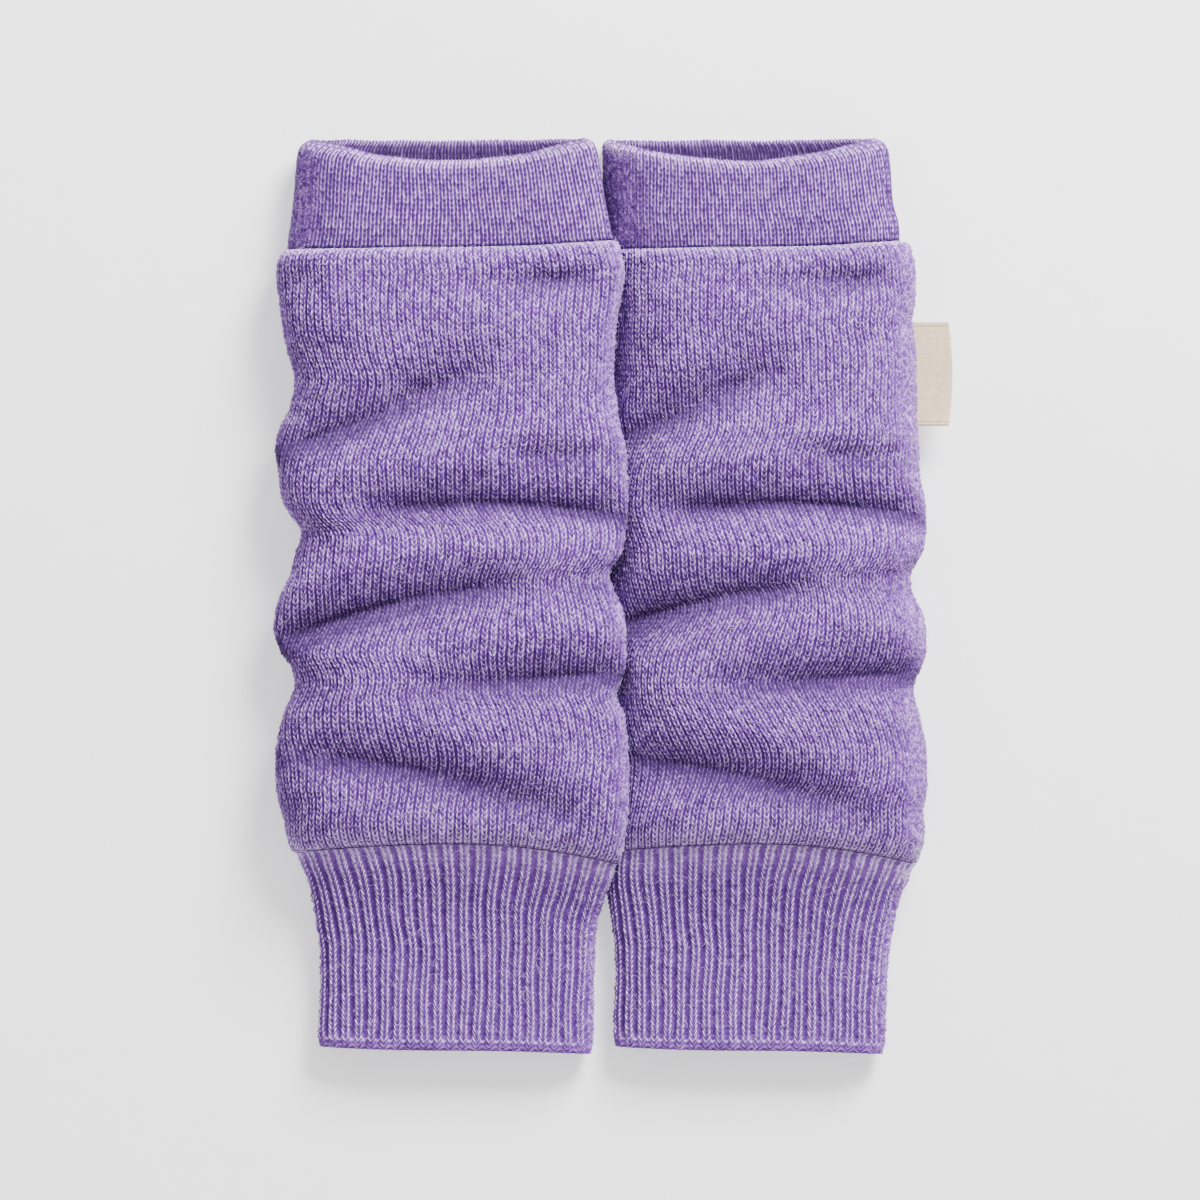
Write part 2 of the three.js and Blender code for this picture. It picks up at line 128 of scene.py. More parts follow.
# The upper layer's height down its middle, and how much further from the rim a ring lies at
# each side than there.
CROWN = table(
    "at height bow_left bow_right",
    (8.7, 19.6, -8.3, -8.7),
    (10.4, 21.4, -7.9, -8.4),
    (14.0, 22.2, -6.4, -7.2),
    (24.0, 23.4, -2.4, -5.0),
    (34.0, 24.8, -0.2, -3.6),
    (41.5, 25.0, 0.4, -2.8),
    (42.6, 28.2, 0.4, -2.6),
    (45.5, 31.0, 0.4, -2.2),
    (52.0, 32.8, 0.3, -1.6),
    (75.0, 33.2, 0.0, 0.0),
    (96.0, 32.6, 0.0, 0.0),
    (122.0, 34.6, 0.0, 0.0),
    (152.0, 34.4, 0.0, 0.0),
    (184.0, 35.4, 0.0, 0.0),
    (220.0, 35.0, 0.6, 2.0),
    (242.0, 34.8, 1.7, 4.6),
    (256.0, 33.0, 2.7, 6.6),
    (263.0, 30.6, 3.2, 7.5),
    (266.6, 27.6, 3.4, 7.9),
    (268.0, 25.2, 3.5, 8.0),
    (272.0, 24.0, 3.4, 7.8),
    (282.0, 20.4, 2.4, 6.6),
    (295.0, 17.0, 1.0, 4.6),
    (312.0, 15.0, -0.4, 3.0),
    (332.0, 14.2, -1.1, 2.0),
    (345.8, 14.0, -1.4, 1.5),
    (347.0, 13.4, -1.4, 1.5),
)

# Slouch folds of the upper layer, as troughs through three places, with a depth at each.
# above and below are how far a trough's two sides reach.
FOLDS = rows_of(
    "x at depth above below",
    ((24, 41, 60), (53, 53.2, 52), (0, 2.8, 1.2), 3.6, 6),
    ((-66, -57, -46), (56.5, 57.5, 60), (1.6, 1.8, 0), 4, 5),
    ((-68, -28, 14), (113.5, 108.5, 88), (7.0, 5.6, 0.3), 6.5, 6),
    ((-40, 12, 66), (141, 137.6, 142.5), (0, 7.6, 6.6), 6.2, 6.5),
    ((-69, -24, 30), (184.5, 172, 167.5), (10.0, 9.0, 0), 6.5, 7),
    ((-28, 20, 67), (209.5, 207, 206.5), (0, 7.8, 9.2), 6.2, 5.5),
    ((-68, -14, 52), (230, 234.5, 257), (4.5, 7.2, 1.6), 6, 8),
    ((36, 52, 68), (171, 168.5, 166.5), (0, 2.0, 4.4), 4, 5),
    ((-68, -57, -40), (205.5, 207, 210), (3.6, 2.2, 0), 4.5, 5),
    ((-68, -56, -38), (150.5, 153, 158), (5.0, 3.0, 0), 5, 5),
    ((-67, -60, -50), (252.5, 253, 254), (1.6, 1.2, 0), 3, 3),
)

# How round a trough is on its roll's side and on its lower side, and how far past its two ends a
# fold fades out.
FOLD_SOFTNESS = 2.4
LOW_SOFTNESS = 6.0
FOLD_END_FADE = 8.0

# Creases of the underside, where a side valley runs on beneath the tube, how far along the leg
# one reaches, and from what share of the way out it starts.
UNDER_CREASES = rows_of(
    "at side depth",
    (92, -1, 2.2),
    (150, -1, 3.0),
    (167, 1, 2.6),
    (207, -1, 2.4),
    (211, 1, 2.4),
)
UNDER_CREASE_REACH = 5.0
UNDER_CREASE_START = 0.45

# How the tubes lie, as in the part's source: how high each side is widest, how square it is
# over and under that place, which column gives the right side, how far the left side may reach,
# and on which side of the face between the legs the tube lies.
LEAN_LEFT = {
    "left": {"widest": 0.42, "over": 4.0, "under": 8.0},
    "right": {"widest": 0.68, "over": 4.0, "under": 5.0},
    "outer_column": "right",
    "tuck": 75.0,
    "contact_side": -1,
}
LEAN_RIGHT = {
    "left": {"widest": 0.14, "over": 2.6, "under": 5.0},
    "right": {"widest": 0.42, "over": 4.0, "under": 8.0},
    "outer_column": "outer",
    "tuck": 55.4,
    "contact_side": 1,
}

# How both tubes lie in the ribbed cuffs, and where they start and end coming to it.
UPRIGHT = {"widest": 0.45, "over": 5.0, "under": 9.0}
UPRIGHT_FROM = 266.0
UPRIGHT_TO = 305.0

# The slanted face where the legs lean on each other.
CONTACT_X = -9.07
CONTACT_SLOPE = 0.65
CONTACT_GAP = 0.5
CONTACT_SOFTNESS = 1.6

# How deep the underside is pressed flat, how sharply it turns up into the sides, the least share
# of its height that the upper layer keeps in a trough, and how softly those limits are met.
FLATTEN = 0.6
SIDE_TURN = 8
LEAST_HEIGHT = 0.3
LEAST_SOFTNESS = 2.0
TUCK_SOFTNESS = 1.0

# A fold's upper side is a round roll of cloth that bulges down over its trough. The roll is
# this much wider than the solid's slope, and steepens down to its bend. It leans down the leg by
# a share of the trough's depth, most at a place before the trough's line.
ROLL_WIDTH = 2.4
ROLL_BEND = 0.7
LIP_SHARE = 0.3
LIP_BEFORE = 5.0
LIP_REACH = 5.0

# The painted shade in a trough: its share on the roll, and how much more there is from a
# little below the line.
ROLL_SHADE = 0.32
LOW_SHADE = 0.6
LOW_SHADE_FROM = 4.0

# How each fold's trough runs in the cloth: how much deeper than the solid's, how far down the
# leg its line is moved at its three places, and how far below the line its painted shade spreads.
FOLD_LAY = rows_of(
    "gain moved spread",
    (0.7, (0, 0, 0), 6),
    (1.5, (-3, -3, -3), 6),
    (1.3, (4, -4, -2), 7),
    (1.2, (0, -0.5, 0), 5.2),
    (1.2, (6, 3.5, 1), 8.5),
    (0.94, (0, -2.5, -5), 8),
    (1.06, (2, 3.5, 1), 9.5),
    (1.3, (0, 0, 0), 7),
    (1.1, (0, 0, 0), 7),
    (1.0, (2, 1, 0), 7),
    (1.5, (0, 0, 0), 6),
)

# Softer dips between the folds, too shallow for the solid.
DIPS = rows_of(
    "x at depth above below",
    ((4, 33, 60), (54, 53.6, 52), (0, 4.4, 0.4), 4.4, 6),
    ((-26, -2, 20), (97, 91.5, 88), (0, 2.4, 0), 4.4, 5),
    ((14, 40, 62), (121, 120.5, 121), (0, 4.8, 1.6), 3.8, 5),
    ((-44, -24, 4), (140.5, 140.5, 139), (1.2, 3.0, 0), 5, 5),
    ((-10, 18, 52), (171, 169.5, 168), (0, 3.2, 0.6), 5, 5),
    ((-62, -20, 14), (50.5, 50, 51), (2.2, 1.8, 0), 2.5, 4),
    ((-66, -50, -30), (81, 80, 83), (1.8, 1.5, 0), 2.4, 4),
    ((-20, 10, 50), (76, 80, 74), (0, 1.2, 0.9), 5, 5),
    ((-60, -44, -20), (131, 133, 136), (0.4, 0.6, 0), 4, 4),
    ((-30, -6, 16), (192, 189, 190), (0, 1.2, 0), 5, 5),
    ((-64, -48, -28), (217, 218, 221), (1.6, 1.2, 0), 4, 4),
    ((20, 44, 66), (228, 226, 223), (0, 1.0, 1.2), 5, 5),
)
DIP_LAY = {"gain": 1.0, "moved": (0, 0, 0), "spread": 6}

# How far the wales drift to the right down the leg, as the folds pull them askew.
SWAY = table(
    "at shift",
    (41.0, 0.0),
    (84.0, 0.0),
    (98.0, -0.4),
    (108.0, -1.6),
    (124.0, -4.8),
    (138.0, -4.4),
    (146.0, -2.4),
    (166.0, 3.4),
    (172.0, 3.6),
    (191.0, -2.6),
    (207.0, -2.4),
    (214.0, -0.8),
    (234.0, 4.4),
    (240.0, 4.2),
    (256.0, 1.0),
    (268.0, 0.6),
)

# The drift follows the folds' slant, and most of it is lost towards the right side.
SWAY_SLANT = 0.15
SWAY_FADE_FROM = 12.0
SWAY_FADE = 45.0
SWAY_LOST = 0.75

# How far the wales waver too. Each wave turns by a radian over a stretch across and down the leg.
WALE_WAVER = 0.16
WALE_WAVES = rows_of(
    "across down start",
    (5.1, 7.3, 0.0),
    (8.7, -4.6, 1.9),
    (-13.0, 11.9, 0.0),
)


def mix(a, b, t):
    return a + (b - a) * t


def smooth(t):
    return t * t * (3 - 2 * t)


def soft_min(a, b, k):
    return (a + b - np.hypot(a - b, k)) / 2


def soft_max(a, b, k):
    return (a + b + np.hypot(a - b, k)) / 2


def bell(value, place, reach):
    """1 at a place, falling off smoothly to both sides of it."""
    return np.exp(-(((value - place) / reach) ** 2))


def read(rows, column, at):
    """One column of a table at some places, through a smooth curve that doesn't overshoot."""
    xs, ys = rows["at"], rows[column]
    steps = np.diff(xs)
    slopes = np.diff(ys) / steps
    product = slopes[:-1] * slopes[1:]
    total = slopes[:-1] + slopes[1:]
    tangents = np.zeros(len(xs))
    tangents[1:-1] = np.where(product > 0, 2 * product / np.where(total == 0, 1, total), 0)
    at = np.clip(at, xs[0], xs[-1])
    i = np.clip(np.searchsorted(xs, at, side="right") - 1, 0, len(xs) - 2)
    t = (at - xs[i]) / steps[i]
    bend = steps[i] * (tangents[i] * t * (1 - t) ** 2 - tangents[i + 1] * t * t * (1 - t))
    return mix(ys[i], ys[i + 1], smooth(t)) + bend


def through(xs, values, x):
    """A parabola through a fold's three places."""
    (x0, x1, x2), (v0, v1, v2) = xs, values
    w0 = (x - x1) * (x - x2) / ((x0 - x1) * (x0 - x2))
    w1 = (x - x0) * (x - x2) / ((x1 - x0) * (x1 - x2))
    w2 = (x - x0) * (x - x1) / ((x2 - x0) * (x2 - x1))
    return v0 * w0 + v1 * w1 + v2 * w2


def fold_forms(x, at):
    """How far the folds draw the upper layer down at some places, how far they roll it over,
    and how much painted shade each place takes from the troughs."""
    depth = np.zeros(np.broadcast(x, at).shape)
    lip = np.zeros_like(depth)
    painted_shade = np.zeros_like(depth)
    for fold, lay in zip(FOLDS + DIPS, FOLD_LAY + [DIP_LAY] * len(DIPS)):
        xs = fold["x"]
        line_at = tuple(at_here + moved for at_here, moved in zip(fold["at"], lay["moved"]))
        along = np.clip(x, xs[0], xs[2])
        past = np.clip(np.abs(x - along) / FOLD_END_FADE, 0, 1)
        line = through(xs, line_at, along)
        tilt = through(xs, line_at, along + 0.5) - through(xs, line_at, along - 0.5)
        off = (at - line) / np.hypot(1, tilt)
        softness = np.where(off < 0, FOLD_SOFTNESS, LOW_SOFTNESS)
        away = np.hypot(off, softness) - softness
        part = 1 - np.clip(away / (fold["above"] * ROLL_WIDTH), 0, 1)
        bent = part * part / (ROLL_BEND * (2 - ROLL_BEND))
        roll = np.where(part < ROLL_BEND, bent, (2 * part - ROLL_BEND) / (2 - ROLL_BEND))
        slope = np.exp(-away / fold["below"])
        here = np.maximum(0, through(xs, fold["depth"], along)) * (1 - smooth(past)) * lay["gain"]
        depth += here * np.where(off < 0, roll, slope)
        low = (1 + LOW_SHADE * smooth(np.clip(off / LOW_SHADE_FROM, 0, 1))) * bell(off, 0, lay["spread"])
        painted_shade += here * np.where(off < 0, ROLL_SHADE * roll * roll, low)
        lip += LIP_SHARE * here * bell(off, -LIP_BEFORE, LIP_REACH)
    return depth, lip, painted_shade


def crease_lift(share, at):
    """How far the underside's creases lift it at some places."""
    lift = np.zeros(np.broadcast(share, at).shape)
    for crease in UNDER_CREASES:
        out = (share * crease["side"] - UNDER_CREASE_START) / (1 - UNDER_CREASE_START)
        along = bell(at, crease["at"], UNDER_CREASE_REACH)
        lift += crease["depth"] * smooth(np.clip(out, 0, 1)) * along
    return lift


def skin(tube, at, angle, inset):
    """Points of a tube's skin, at angles round its sections: -90 degrees is the middle of the
    underside, 0 the right side and 90 the middle of the upper layer."""
    lean = tube["lean"]
    ease = smooth(np.clip((at - UPRIGHT_FROM) / (UPRIGHT_TO - UPRIGHT_FROM), 0, 1))
    sine, cosine = np.sin(angle), np.cos(angle)

    def lie(key):
        return [mix(lean[side][key], UPRIGHT[key], ease) for side in ("left", "right")]

    over = np.where(cosine < 0, *lie("over"))
    under = np.where(cosine < 0, *lie("under"))
    share = np.sign(cosine) * np.abs(cosine) ** (2 / np.where(sine > 0, over, under))
    across = (share + 1) / 2
    bow_left = read(CROWN, "bow_left", at)
    bow_right = read(CROWN, "bow_right", at)
    height = read(CROWN, "height", at) - inset
    left = soft_max(read(SIDES, "left", at + bow_left), -lean["tuck"], TUCK_SOFTNESS) + inset
    right = read(SIDES, lean["outer_column"], at + bow_right) - inset
    widest = height * mix(*lie("widest"), across)
    upper_bow = share * share * np.where(share < 0, bow_left, bow_right)
    place = at + np.where(sine > 0, upper_bow, mix(bow_left, bow_right, across))
    x = mix(left, right, across)
    depth, lip, _ = fold_forms(x, place)
    top = smooth(np.clip(sine, 0, 1))
    upper = widest + (height - widest) * sine - depth * top
    upper = soft_max(upper, LEAST_HEIGHT * height, LEAST_SOFTNESS)
    lower = inset + np.maximum(0, (widest - inset) * (1 + sine) - FLATTEN) + crease_lift(share, place)
    lower = mix(lower, widest, np.clip(1 + sine, 0, 1) ** SIDE_TURN)
    z = np.where(sine > 0, upper, lower)
    place = place + lip * top
    x = x + tube["axis_x"]
    face = CONTACT_X + CONTACT_SLOPE * z
    clear = CONTACT_GAP / 2 + inset * math.hypot(1, CONTACT_SLOPE)
    if lean["contact_side"] < 0:
        x = soft_min(x, face - clear, CONTACT_SOFTNESS)
    else:
        x = soft_max(x, face + clear, CONTACT_SOFTNESS)
    return np.stack([x, LENGTH / 2 - place, z], axis=-1)


# Angles round a section, from the middle of the underside and back to it.
ANGLES = np.linspace(-0.5 * math.pi, 1.5 * math.pi, 481)


def drift(x, at):
    """How far the wales are drawn to the right at some places of a tube."""
    fade = 1 - SWAY_LOST * smooth(np.clip((x - SWAY_FADE_FROM) / SWAY_FADE, 0, 1))
    waves = sum(np.sin(x / wave["across"] + at / wave["down"] + wave["start"]) for wave in WALE_WAVES)
    return read(SWAY, "shift", at + SWAY_SLANT * x) * fade + WALE_WAVER * waves


def lay_columns(tube, ats, insets, shares):
    """Points down each column of a tube, at shares of each section's own length."""
    dense = skin(tube, ats[:, None], ANGLES[None, :], insets[:, None])
    lengths = np.zeros(dense.shape[:2])
    lengths[:, 1:] = np.cumsum(np.linalg.norm(np.diff(dense, axis=1), axis=2), axis=1)
    rows = []
    for r in range(len(ats)):
        whole = lengths[r, -1]
        x = np.interp(shares * whole, lengths[r], dense[r, :, 0]) - tube["axis_x"]
        wanted = (shares - drift(x, ats[r]) / whole) % 1.0 * whole
        rows.append([np.interp(wanted, lengths[r], dense[r, :, k]) for k in range(3)])
    return np.transpose(np.array(rows), (0, 2, 1))


def blur_round(values, reach):
    """Values smoothed round the tube."""
    offsets = np.arange(-2 * reach, 2 * reach + 1)
    weights = np.exp(-((offsets / reach) ** 2))
    weights /= weights.sum()
    return sum(w * np.roll(values, o, axis=1) for w, o in zip(weights, offsets))


def unit(vectors):
    return vectors / np.maximum(np.linalg.norm(vectors, axis=-1, keepdims=True), 1e-9)


def normals_of(grid):
    """Outward directions of a closed grid of columns, rows running away from the rim."""
    down = np.gradient(grid, axis=0)
    round_it = np.roll(grid, -1, axis=1) - np.roll(grid, 1, axis=1)
    return unit(np.cross(round_it, down))


def pick(grid, places):
    """Rows of a grid at fractional places, one place for each row and column."""
    places = np.clip(places, 0, len(grid) - 1.0001)
    low = places.astype(int)
    columns = np.arange(grid.shape[1])[None, :]
    return mix(grid[low, columns], grid[low + 1, columns], (places - low)[..., None])


def courses_down(columns, blur):
    """Each column's share of its own length at each of its points, so that every course
    closes round the tube."""
    steps = np.linalg.norm(np.diff(columns, axis=0), axis=2)
    run = np.zeros(columns.shape[:2])
    run[1:] = np.cumsum(steps, axis=0)
    return blur_round(run / run[-1], blur)


# Wales round a leg and a top cuff. Courses down a leg, down a top cuff's knit, at its rim, and
# down a rib cuff and its bound hem.
LEG_WALES = 90
CUFF_WALES = 88
LEG_COURSES = 118
CUFF_COURSES = 33
RIM_COURSE = 17.0
RIB_COURSES = 41
HEM_COURSES = 3.2

# The points of a wale: at its edge, on one leg of the V, in the V's foot, and on its other leg.
# Each has a height, a dip between the courses, and a drop in courses. relief is how far a height
# of 1 stands out, sunk is the height that lies on the solid's form, and end_ease is how many
# courses a piece takes at its ends to come to its full relief.
JERSEY_STITCH = {
    "heights": (0.22, 1.0, 0.62, 1.0),
    "dips": (0.0, 0.25, 0.45, 0.25),
    "drop": (-0.5, 0.05, 0.45, 0.05),
    "relief": 1.15,
    "sunk": 0.65,
    "rows_per_course": 2,
    "end_ease": 1.5,
}

# The points of a rib: valley, flank, the two strokes of the crest's V, and down again.
RIB_STITCH = {
    "heights": (0.0, 0.1, 0.6, 1.0, 0.8, 0.5, 0.8, 1.0, 0.6, 0.1),
    "dips": (0.0, 0.0, 0.15, 0.35, 0.35, 0.3, 0.35, 0.35, 0.15, 0.0),
    "drop": (0.0, -0.2, -0.5, -0.2, 0.25, 0.5, 0.25, -0.2, -0.5, -0.2),
    "relief": 1.25,
    "sunk": 0.6,
    "rows_per_course": 3,
    "end_ease": 2.0,
}

# How much the stitches differ in size and their rows in place, the share of the relief that is
# left at a piece's ends, and the wavelengths of the cloth's broad unevenness.
STITCH_SIZES = (0.7, 1.3)
ROW_NOISE = 0.0012
END_RELIEF = 0.25
SWELL_LENGTHS = (19, 27, 41)

# The mark of a fold's painted shade is full at this depth, and only on knit that lies higher than this.
FULL_PAINTED_SHADE = 9.0
PAINTED_SHADE_ABOVE = 8.0

# Where the knit is felted, by how far it turns to its right or its left side. The felted knit is
# also lightened a little there, as painted light on those sides.
FELT_AND_LIGHT_RIGHT = {"from": 0.25, "over": 0.45, "most": 1.0}
FELT_AND_LIGHT_LEFT = {"from": 0.5, "over": 0.5, "most": 0.4}

# Knit and loose fibres lie at least this high, just clear of the floor.
LOWEST_KNIT = 0.02
LOWEST_FIBRE = 0.05

# How many more loose fibres start where the knit is felted.
FELT_PULL = 1.2

rng = np.random.default_rng(41)


def add_object(name, data):
    """A new object in the scene."""
    piece = bpy.data.objects.new(name, data)
    bpy.context.scene.collection.objects.link(piece)
    return piece


def swell(grid, amount):
    """Broad, low unevenness of a soft surface."""
    total = np.zeros(grid.shape[:2])
    for length in SWELL_LENGTHS:
        turn = rng.uniform(0, 2 * math.pi)
        phase = rng.uniform(0, 2 * math.pi)
        way = grid[..., 0] * math.cos(turn) + grid[..., 1] * math.sin(turn)
        total += np.sin(way * 2 * math.pi / length + phase)
    return amount * total / 3


def closed_grid(name, points, turn, rows_v, material, marks):
    """A closed mesh from a grid that wraps round both ways. turn is how many wales a whole
    turn holds, and rows_v is how many courses down each row lies."""
    rows, cols = points.shape[:2]
    index = np.arange(rows * cols).reshape(rows, cols)
    below = np.roll(index, -1, axis=0)
    faces = np.stack([index, np.roll(index, -1, axis=1), np.roll(below, -1, axis=1), below], axis=-1)
    mesh = bpy.data.meshes.new(name)
    mesh.vertices.add(rows * cols)
    mesh.vertices.foreach_set("co", (points * MM).astype(np.float32).ravel())
    mesh.loops.add(faces.size)
    mesh.loops.foreach_set("vertex_index", faces.ravel().astype(np.int32))
    mesh.polygons.add(rows * cols)
    mesh.polygons.foreach_set("loop_start", np.arange(0, faces.size, 4, dtype=np.int32))
    mesh.update(calc_edges=True)
    u = np.broadcast_to(np.arange(cols) * turn / cols, (rows, cols))
    u_next = u + turn / cols
    v = np.broadcast_to(rows_v[:, None], (rows, cols))
    v_next = np.broadcast_to(np.append(rows_v[1:], rows_v[-1])[:, None], (rows, cols))
    corners = np.stack([u, v, u_next, v, u_next, v_next, u, v_next], axis=-1)
    layer = mesh.uv_layers.new(name="stitch")
    layer.data.foreach_set("uv", corners.astype(np.float32).ravel())
    for mark, values in marks.items():
        attribute = mesh.attributes.new(mark, "FLOAT", "POINT")
        attribute.data.foreach_set("value", values.astype(np.float32).ravel())
    mesh.shade_smooth()
    mesh.materials.append(material)
    mesh.validate()
    return add_object(name, mesh)


def painted_shade_of(grid, tube):
    """How much painted shade the folds' troughs put on the knit, which darkens it in their hollows."""
    painted_shade = fold_forms(grid[..., 0] - tube["axis_x"], LENGTH / 2 - grid[..., 1])[2]
    return np.clip(painted_shade / FULL_PAINTED_SHADE, 0, 1) * (grid[..., 2] > PAINTED_SHADE_ABOVE)


def felt_and_side_light_of(normals):
    """How matted and fluffy the surface is, with a little painted light on its sides: most at its
    right side, a little at its left.
    """
    felt_and_side_light = np.zeros(normals.shape[:-1])
    for turned, side in ((normals[..., 0], FELT_AND_LIGHT_RIGHT), (-normals[..., 0], FELT_AND_LIGHT_LEFT)):
        felt_and_side_light += side["most"] * np.clip((turned - side["from"]) / side["over"], 0, 1)
    return np.clip(felt_and_side_light, 0, 1)


# Where loose fibres can start, by piece: places, outward directions and how likely they are.
FLUFF_ROOTS = {}


def knit_base(tube, plan, shares, course, ends):
    """The points that the stitches stand on. Every row follows its course round the tube, and
    rises and falls a little with each stitch."""
    columns = lay_columns(tube, plan["ats"], plan["insets"], shares)
    run = courses_down(columns, len(plan["heights"]))
    drop = np.tile(plan["drop"], plan["wales"])
    wanted = (course[:, None] + drop[None, :] * smooth(ends)) / plan["courses"]
    wanted = wanted + ROW_NOISE * rng.standard_normal(wanted.shape) * ends
    steps = np.arange(len(plan["ats"]))
    places = [np.interp(wanted[:, c], run[:, c], steps) for c in range(len(shares))]
    return pick(columns, np.transpose(places))


def knit_lift(plan, course, ends):
    """How far each point stands out of the knit, or is sunk in it."""
    wales, points = plan["wales"], len(plan["heights"])
    across = 0.5 + 0.5 * np.cos(2 * math.pi * course)[:, None]
    stand = np.tile(plan["heights"], wales)[None, :]
    dip = np.tile(plan["dips"], wales)[None, :]
    half = (np.arange(wales * points) * 2 // points)[None, :]
    row = np.floor(course + 0.5).astype(int)[:, None]
    uneven = rng.uniform(*STITCH_SIZES, (plan["courses"] + 2, wales * 2 + 2))[row, half]
    stand = (stand - dip * (1 - across)) * uneven
    return plan["relief"] * (stand - plan["sunk"]) * mix(END_RELIEF, 1, ends)


def knit_piece(name, tube, plan, material):
    """One closed knitted shell. plan gives its outside's stations down the tube, its inside's
    stations, its wales and courses, and how the points of a wale stand and drop."""
    ats, inner_ats = plan["ats"], plan["inner_ats"]
    cols = plan["wales"] * len(plan["heights"])
    shares = np.arange(cols) / cols
    course = np.arange(plan["courses"] * plan["rows_per_course"] + 1) / plan["rows_per_course"]
    ends = np.clip(np.minimum(course, plan["courses"] - course) / plan["end_ease"], 0, 1)[:, None]
    base = knit_base(tube, plan, shares, course, ends)
    normals = normals_of(base)
    base = base + normals * (swell(base, plan["swell"]) * ends)[..., None]
    outside = base + normals * knit_lift(plan, course, ends)[..., None]
    outside[..., 2] = np.maximum(outside[..., 2], LOWEST_KNIT)
    courses = np.broadcast_to(course[:, None], base.shape[:2])
    shade = plan["shade"](courses)
    felt_and_side_light = felt_and_side_light_of(normals)
    # Painted shade, from the folds' troughs and from a piece's own seams and insides.
    painted_shade = np.maximum(painted_shade_of(base, tube), shade)
    free = shade == 0
    pull = (1 + FELT_PULL * felt_and_side_light) * (1 - painted_shade)
    FLUFF_ROOTS[name] = (outside[free], normals[free], pull[free])
    inner = lay_columns(tube, inner_ats, np.full(len(inner_ats), plan["wall"]), shares)
    plain = np.zeros(inner.shape[:2])
    # Marks for the shader: felt with painted side light, painted shade, and painted light or the hem.
    marks = {"felt_and_side_light": felt_and_side_light, "painted_shade": painted_shade, "edge": plan["edge"](courses)}
    marks = {mark: np.concatenate([values, plain]) for mark, values in marks.items()}
    inner_v = (inner_ats - ats[0]) / (ats[-1] - ats[0]) * plan["courses"]
    rows_v = np.concatenate([course, inner_v])
    return closed_grid(name, np.concatenate([outside, inner]), plan["wales"], rows_v, material, marks)


# Short signs for the commonest sums.
SUMS = {"+": "ADD", "-": "SUBTRACT", "*": "MULTIPLY"}


def new_material(name):
    """A material with no nodes yet, and its tools: add makes a node and sets or joins its
    sockets, and calc makes a sum of numbers or other nodes' values."""
    material = bpy.data.materials.new(name)
    material.use_nodes = True
    tree = material.node_tree
    tree.nodes.clear()

    def add(kind, sockets=None, **settings):
        node = tree.nodes.new(kind)
        for key, value in settings.items():
            setattr(node, key, value)
        for key, value in (sockets or {}).items():
            if isinstance(value, bpy.types.NodeSocket):
                tree.links.new(value, node.inputs[key])
            else:
                node.inputs[key].default_value = value
        return node

    def calc(sign, a, b=0.0, clamp=False):
        operation = SUMS.get(sign, sign)
        return add("ShaderNodeMath", {0: a, 1: b}, operation=operation, use_clamp=clamp).outputs[0]

    return material, add, calc


def ramp(add, value, stops):
    """A colour ramp over a value."""
    node = add("ShaderNodeValToRGB", {0: value})
    elements = node.color_ramp.elements
    while len(elements) < len(stops):
        elements.new(0.5)
    for element, (place, colour) in zip(elements, stops):
        element.position = place
        element.color = (*colour, 1)
    return node.outputs[0]


def noise(add, scale, detail, vector=None):
    """A noise texture's value, over the object's own coordinates unless a vector is given."""
    vector = vector or add("ShaderNodeTexCoord").outputs["Object"]
    return add("ShaderNodeTexNoise", {"Vector": vector, "Scale": scale, "Detail": detail}).outputs["Fac"]


def stitch_places(add):
    """Where a place lies in the weave: how far across it and how far down it."""
    stitch = add("ShaderNodeUVMap", uv_map="stitch").outputs[0]
    split = add("ShaderNodeSeparateXYZ", {0: stitch})
    return split.outputs[0], split.outputs[1]


def scaled(calc, value, gain, least, clamp=False):
    """A value times a gain, above a least one."""
    return calc("+", calc("*", value, gain), least, clamp)


def vary(calc, value, pattern, amount):
    """A value moved up and down by a pattern that goes from 0 to 1."""
    return calc("+", value, calc("*", calc("-", pattern, 0.5), amount))


def between(calc, one, two, share):
    """A value that goes from one to two as a share goes from 0 to 1."""
    return calc("+", calc("*", one, calc("-", 1, share)), calc("*", two, share))


def stripe(calc, value, place, top, sharp):
    """A line where a value meets a place, this high and falling off this sharply."""
    off = calc("ABSOLUTE", calc("-", value, place))
    return calc("-", top, calc("*", off, sharp), clamp=True)


def relief(add, height, strength, metres):
    """Fine relief from a value."""
    sockets = {"Height": height, "Strength": strength, "Distance": metres}
    return add("ShaderNodeBump", sockets).outputs[0]


def cover(add, surface):
    """A material's one shader, by its sockets' numbers and values."""
    shader = add("ShaderNodeBsdfPrincipled", surface)
    add("ShaderNodeOutputMaterial", {0: shader.outputs[0]})


# The knits. even is how little the strands fade between the courses, slant is how many courses
# further up a stitch's strokes start at a wale's or a rib's edge, tangle is how far its lines
# wander and lone is how much single stitches differ.
JERSEY = {"ribbed": False, "even": 0.3, "slant": 0.32, "tangle": 0.13, "lone": 0.3}
FINE_JERSEY = {**JERSEY, "even": 0.62}
RIB = {"ribbed": True, "slant": 0.9, "tangle": 0.08, "lone": 0.12}
FELT_TANGLE = 0.7
TANGLE_ACROSS = 0.9

# Noise for each metre that frays the stitches, makes them wander and draws loose curls, and the
# streaks of fibre in each stitch.
FRAY_SCALE = 1100
WANDER_SCALE = 420
CURLS = ({"scale": 310, "thin": 11.0, "light": 1.0}, {"scale": 470, "thin": 10.0, "light": 0.75})
CURL_DETAIL = 0.6
STREAKS = {"across": 3.4, "down": 2.2}

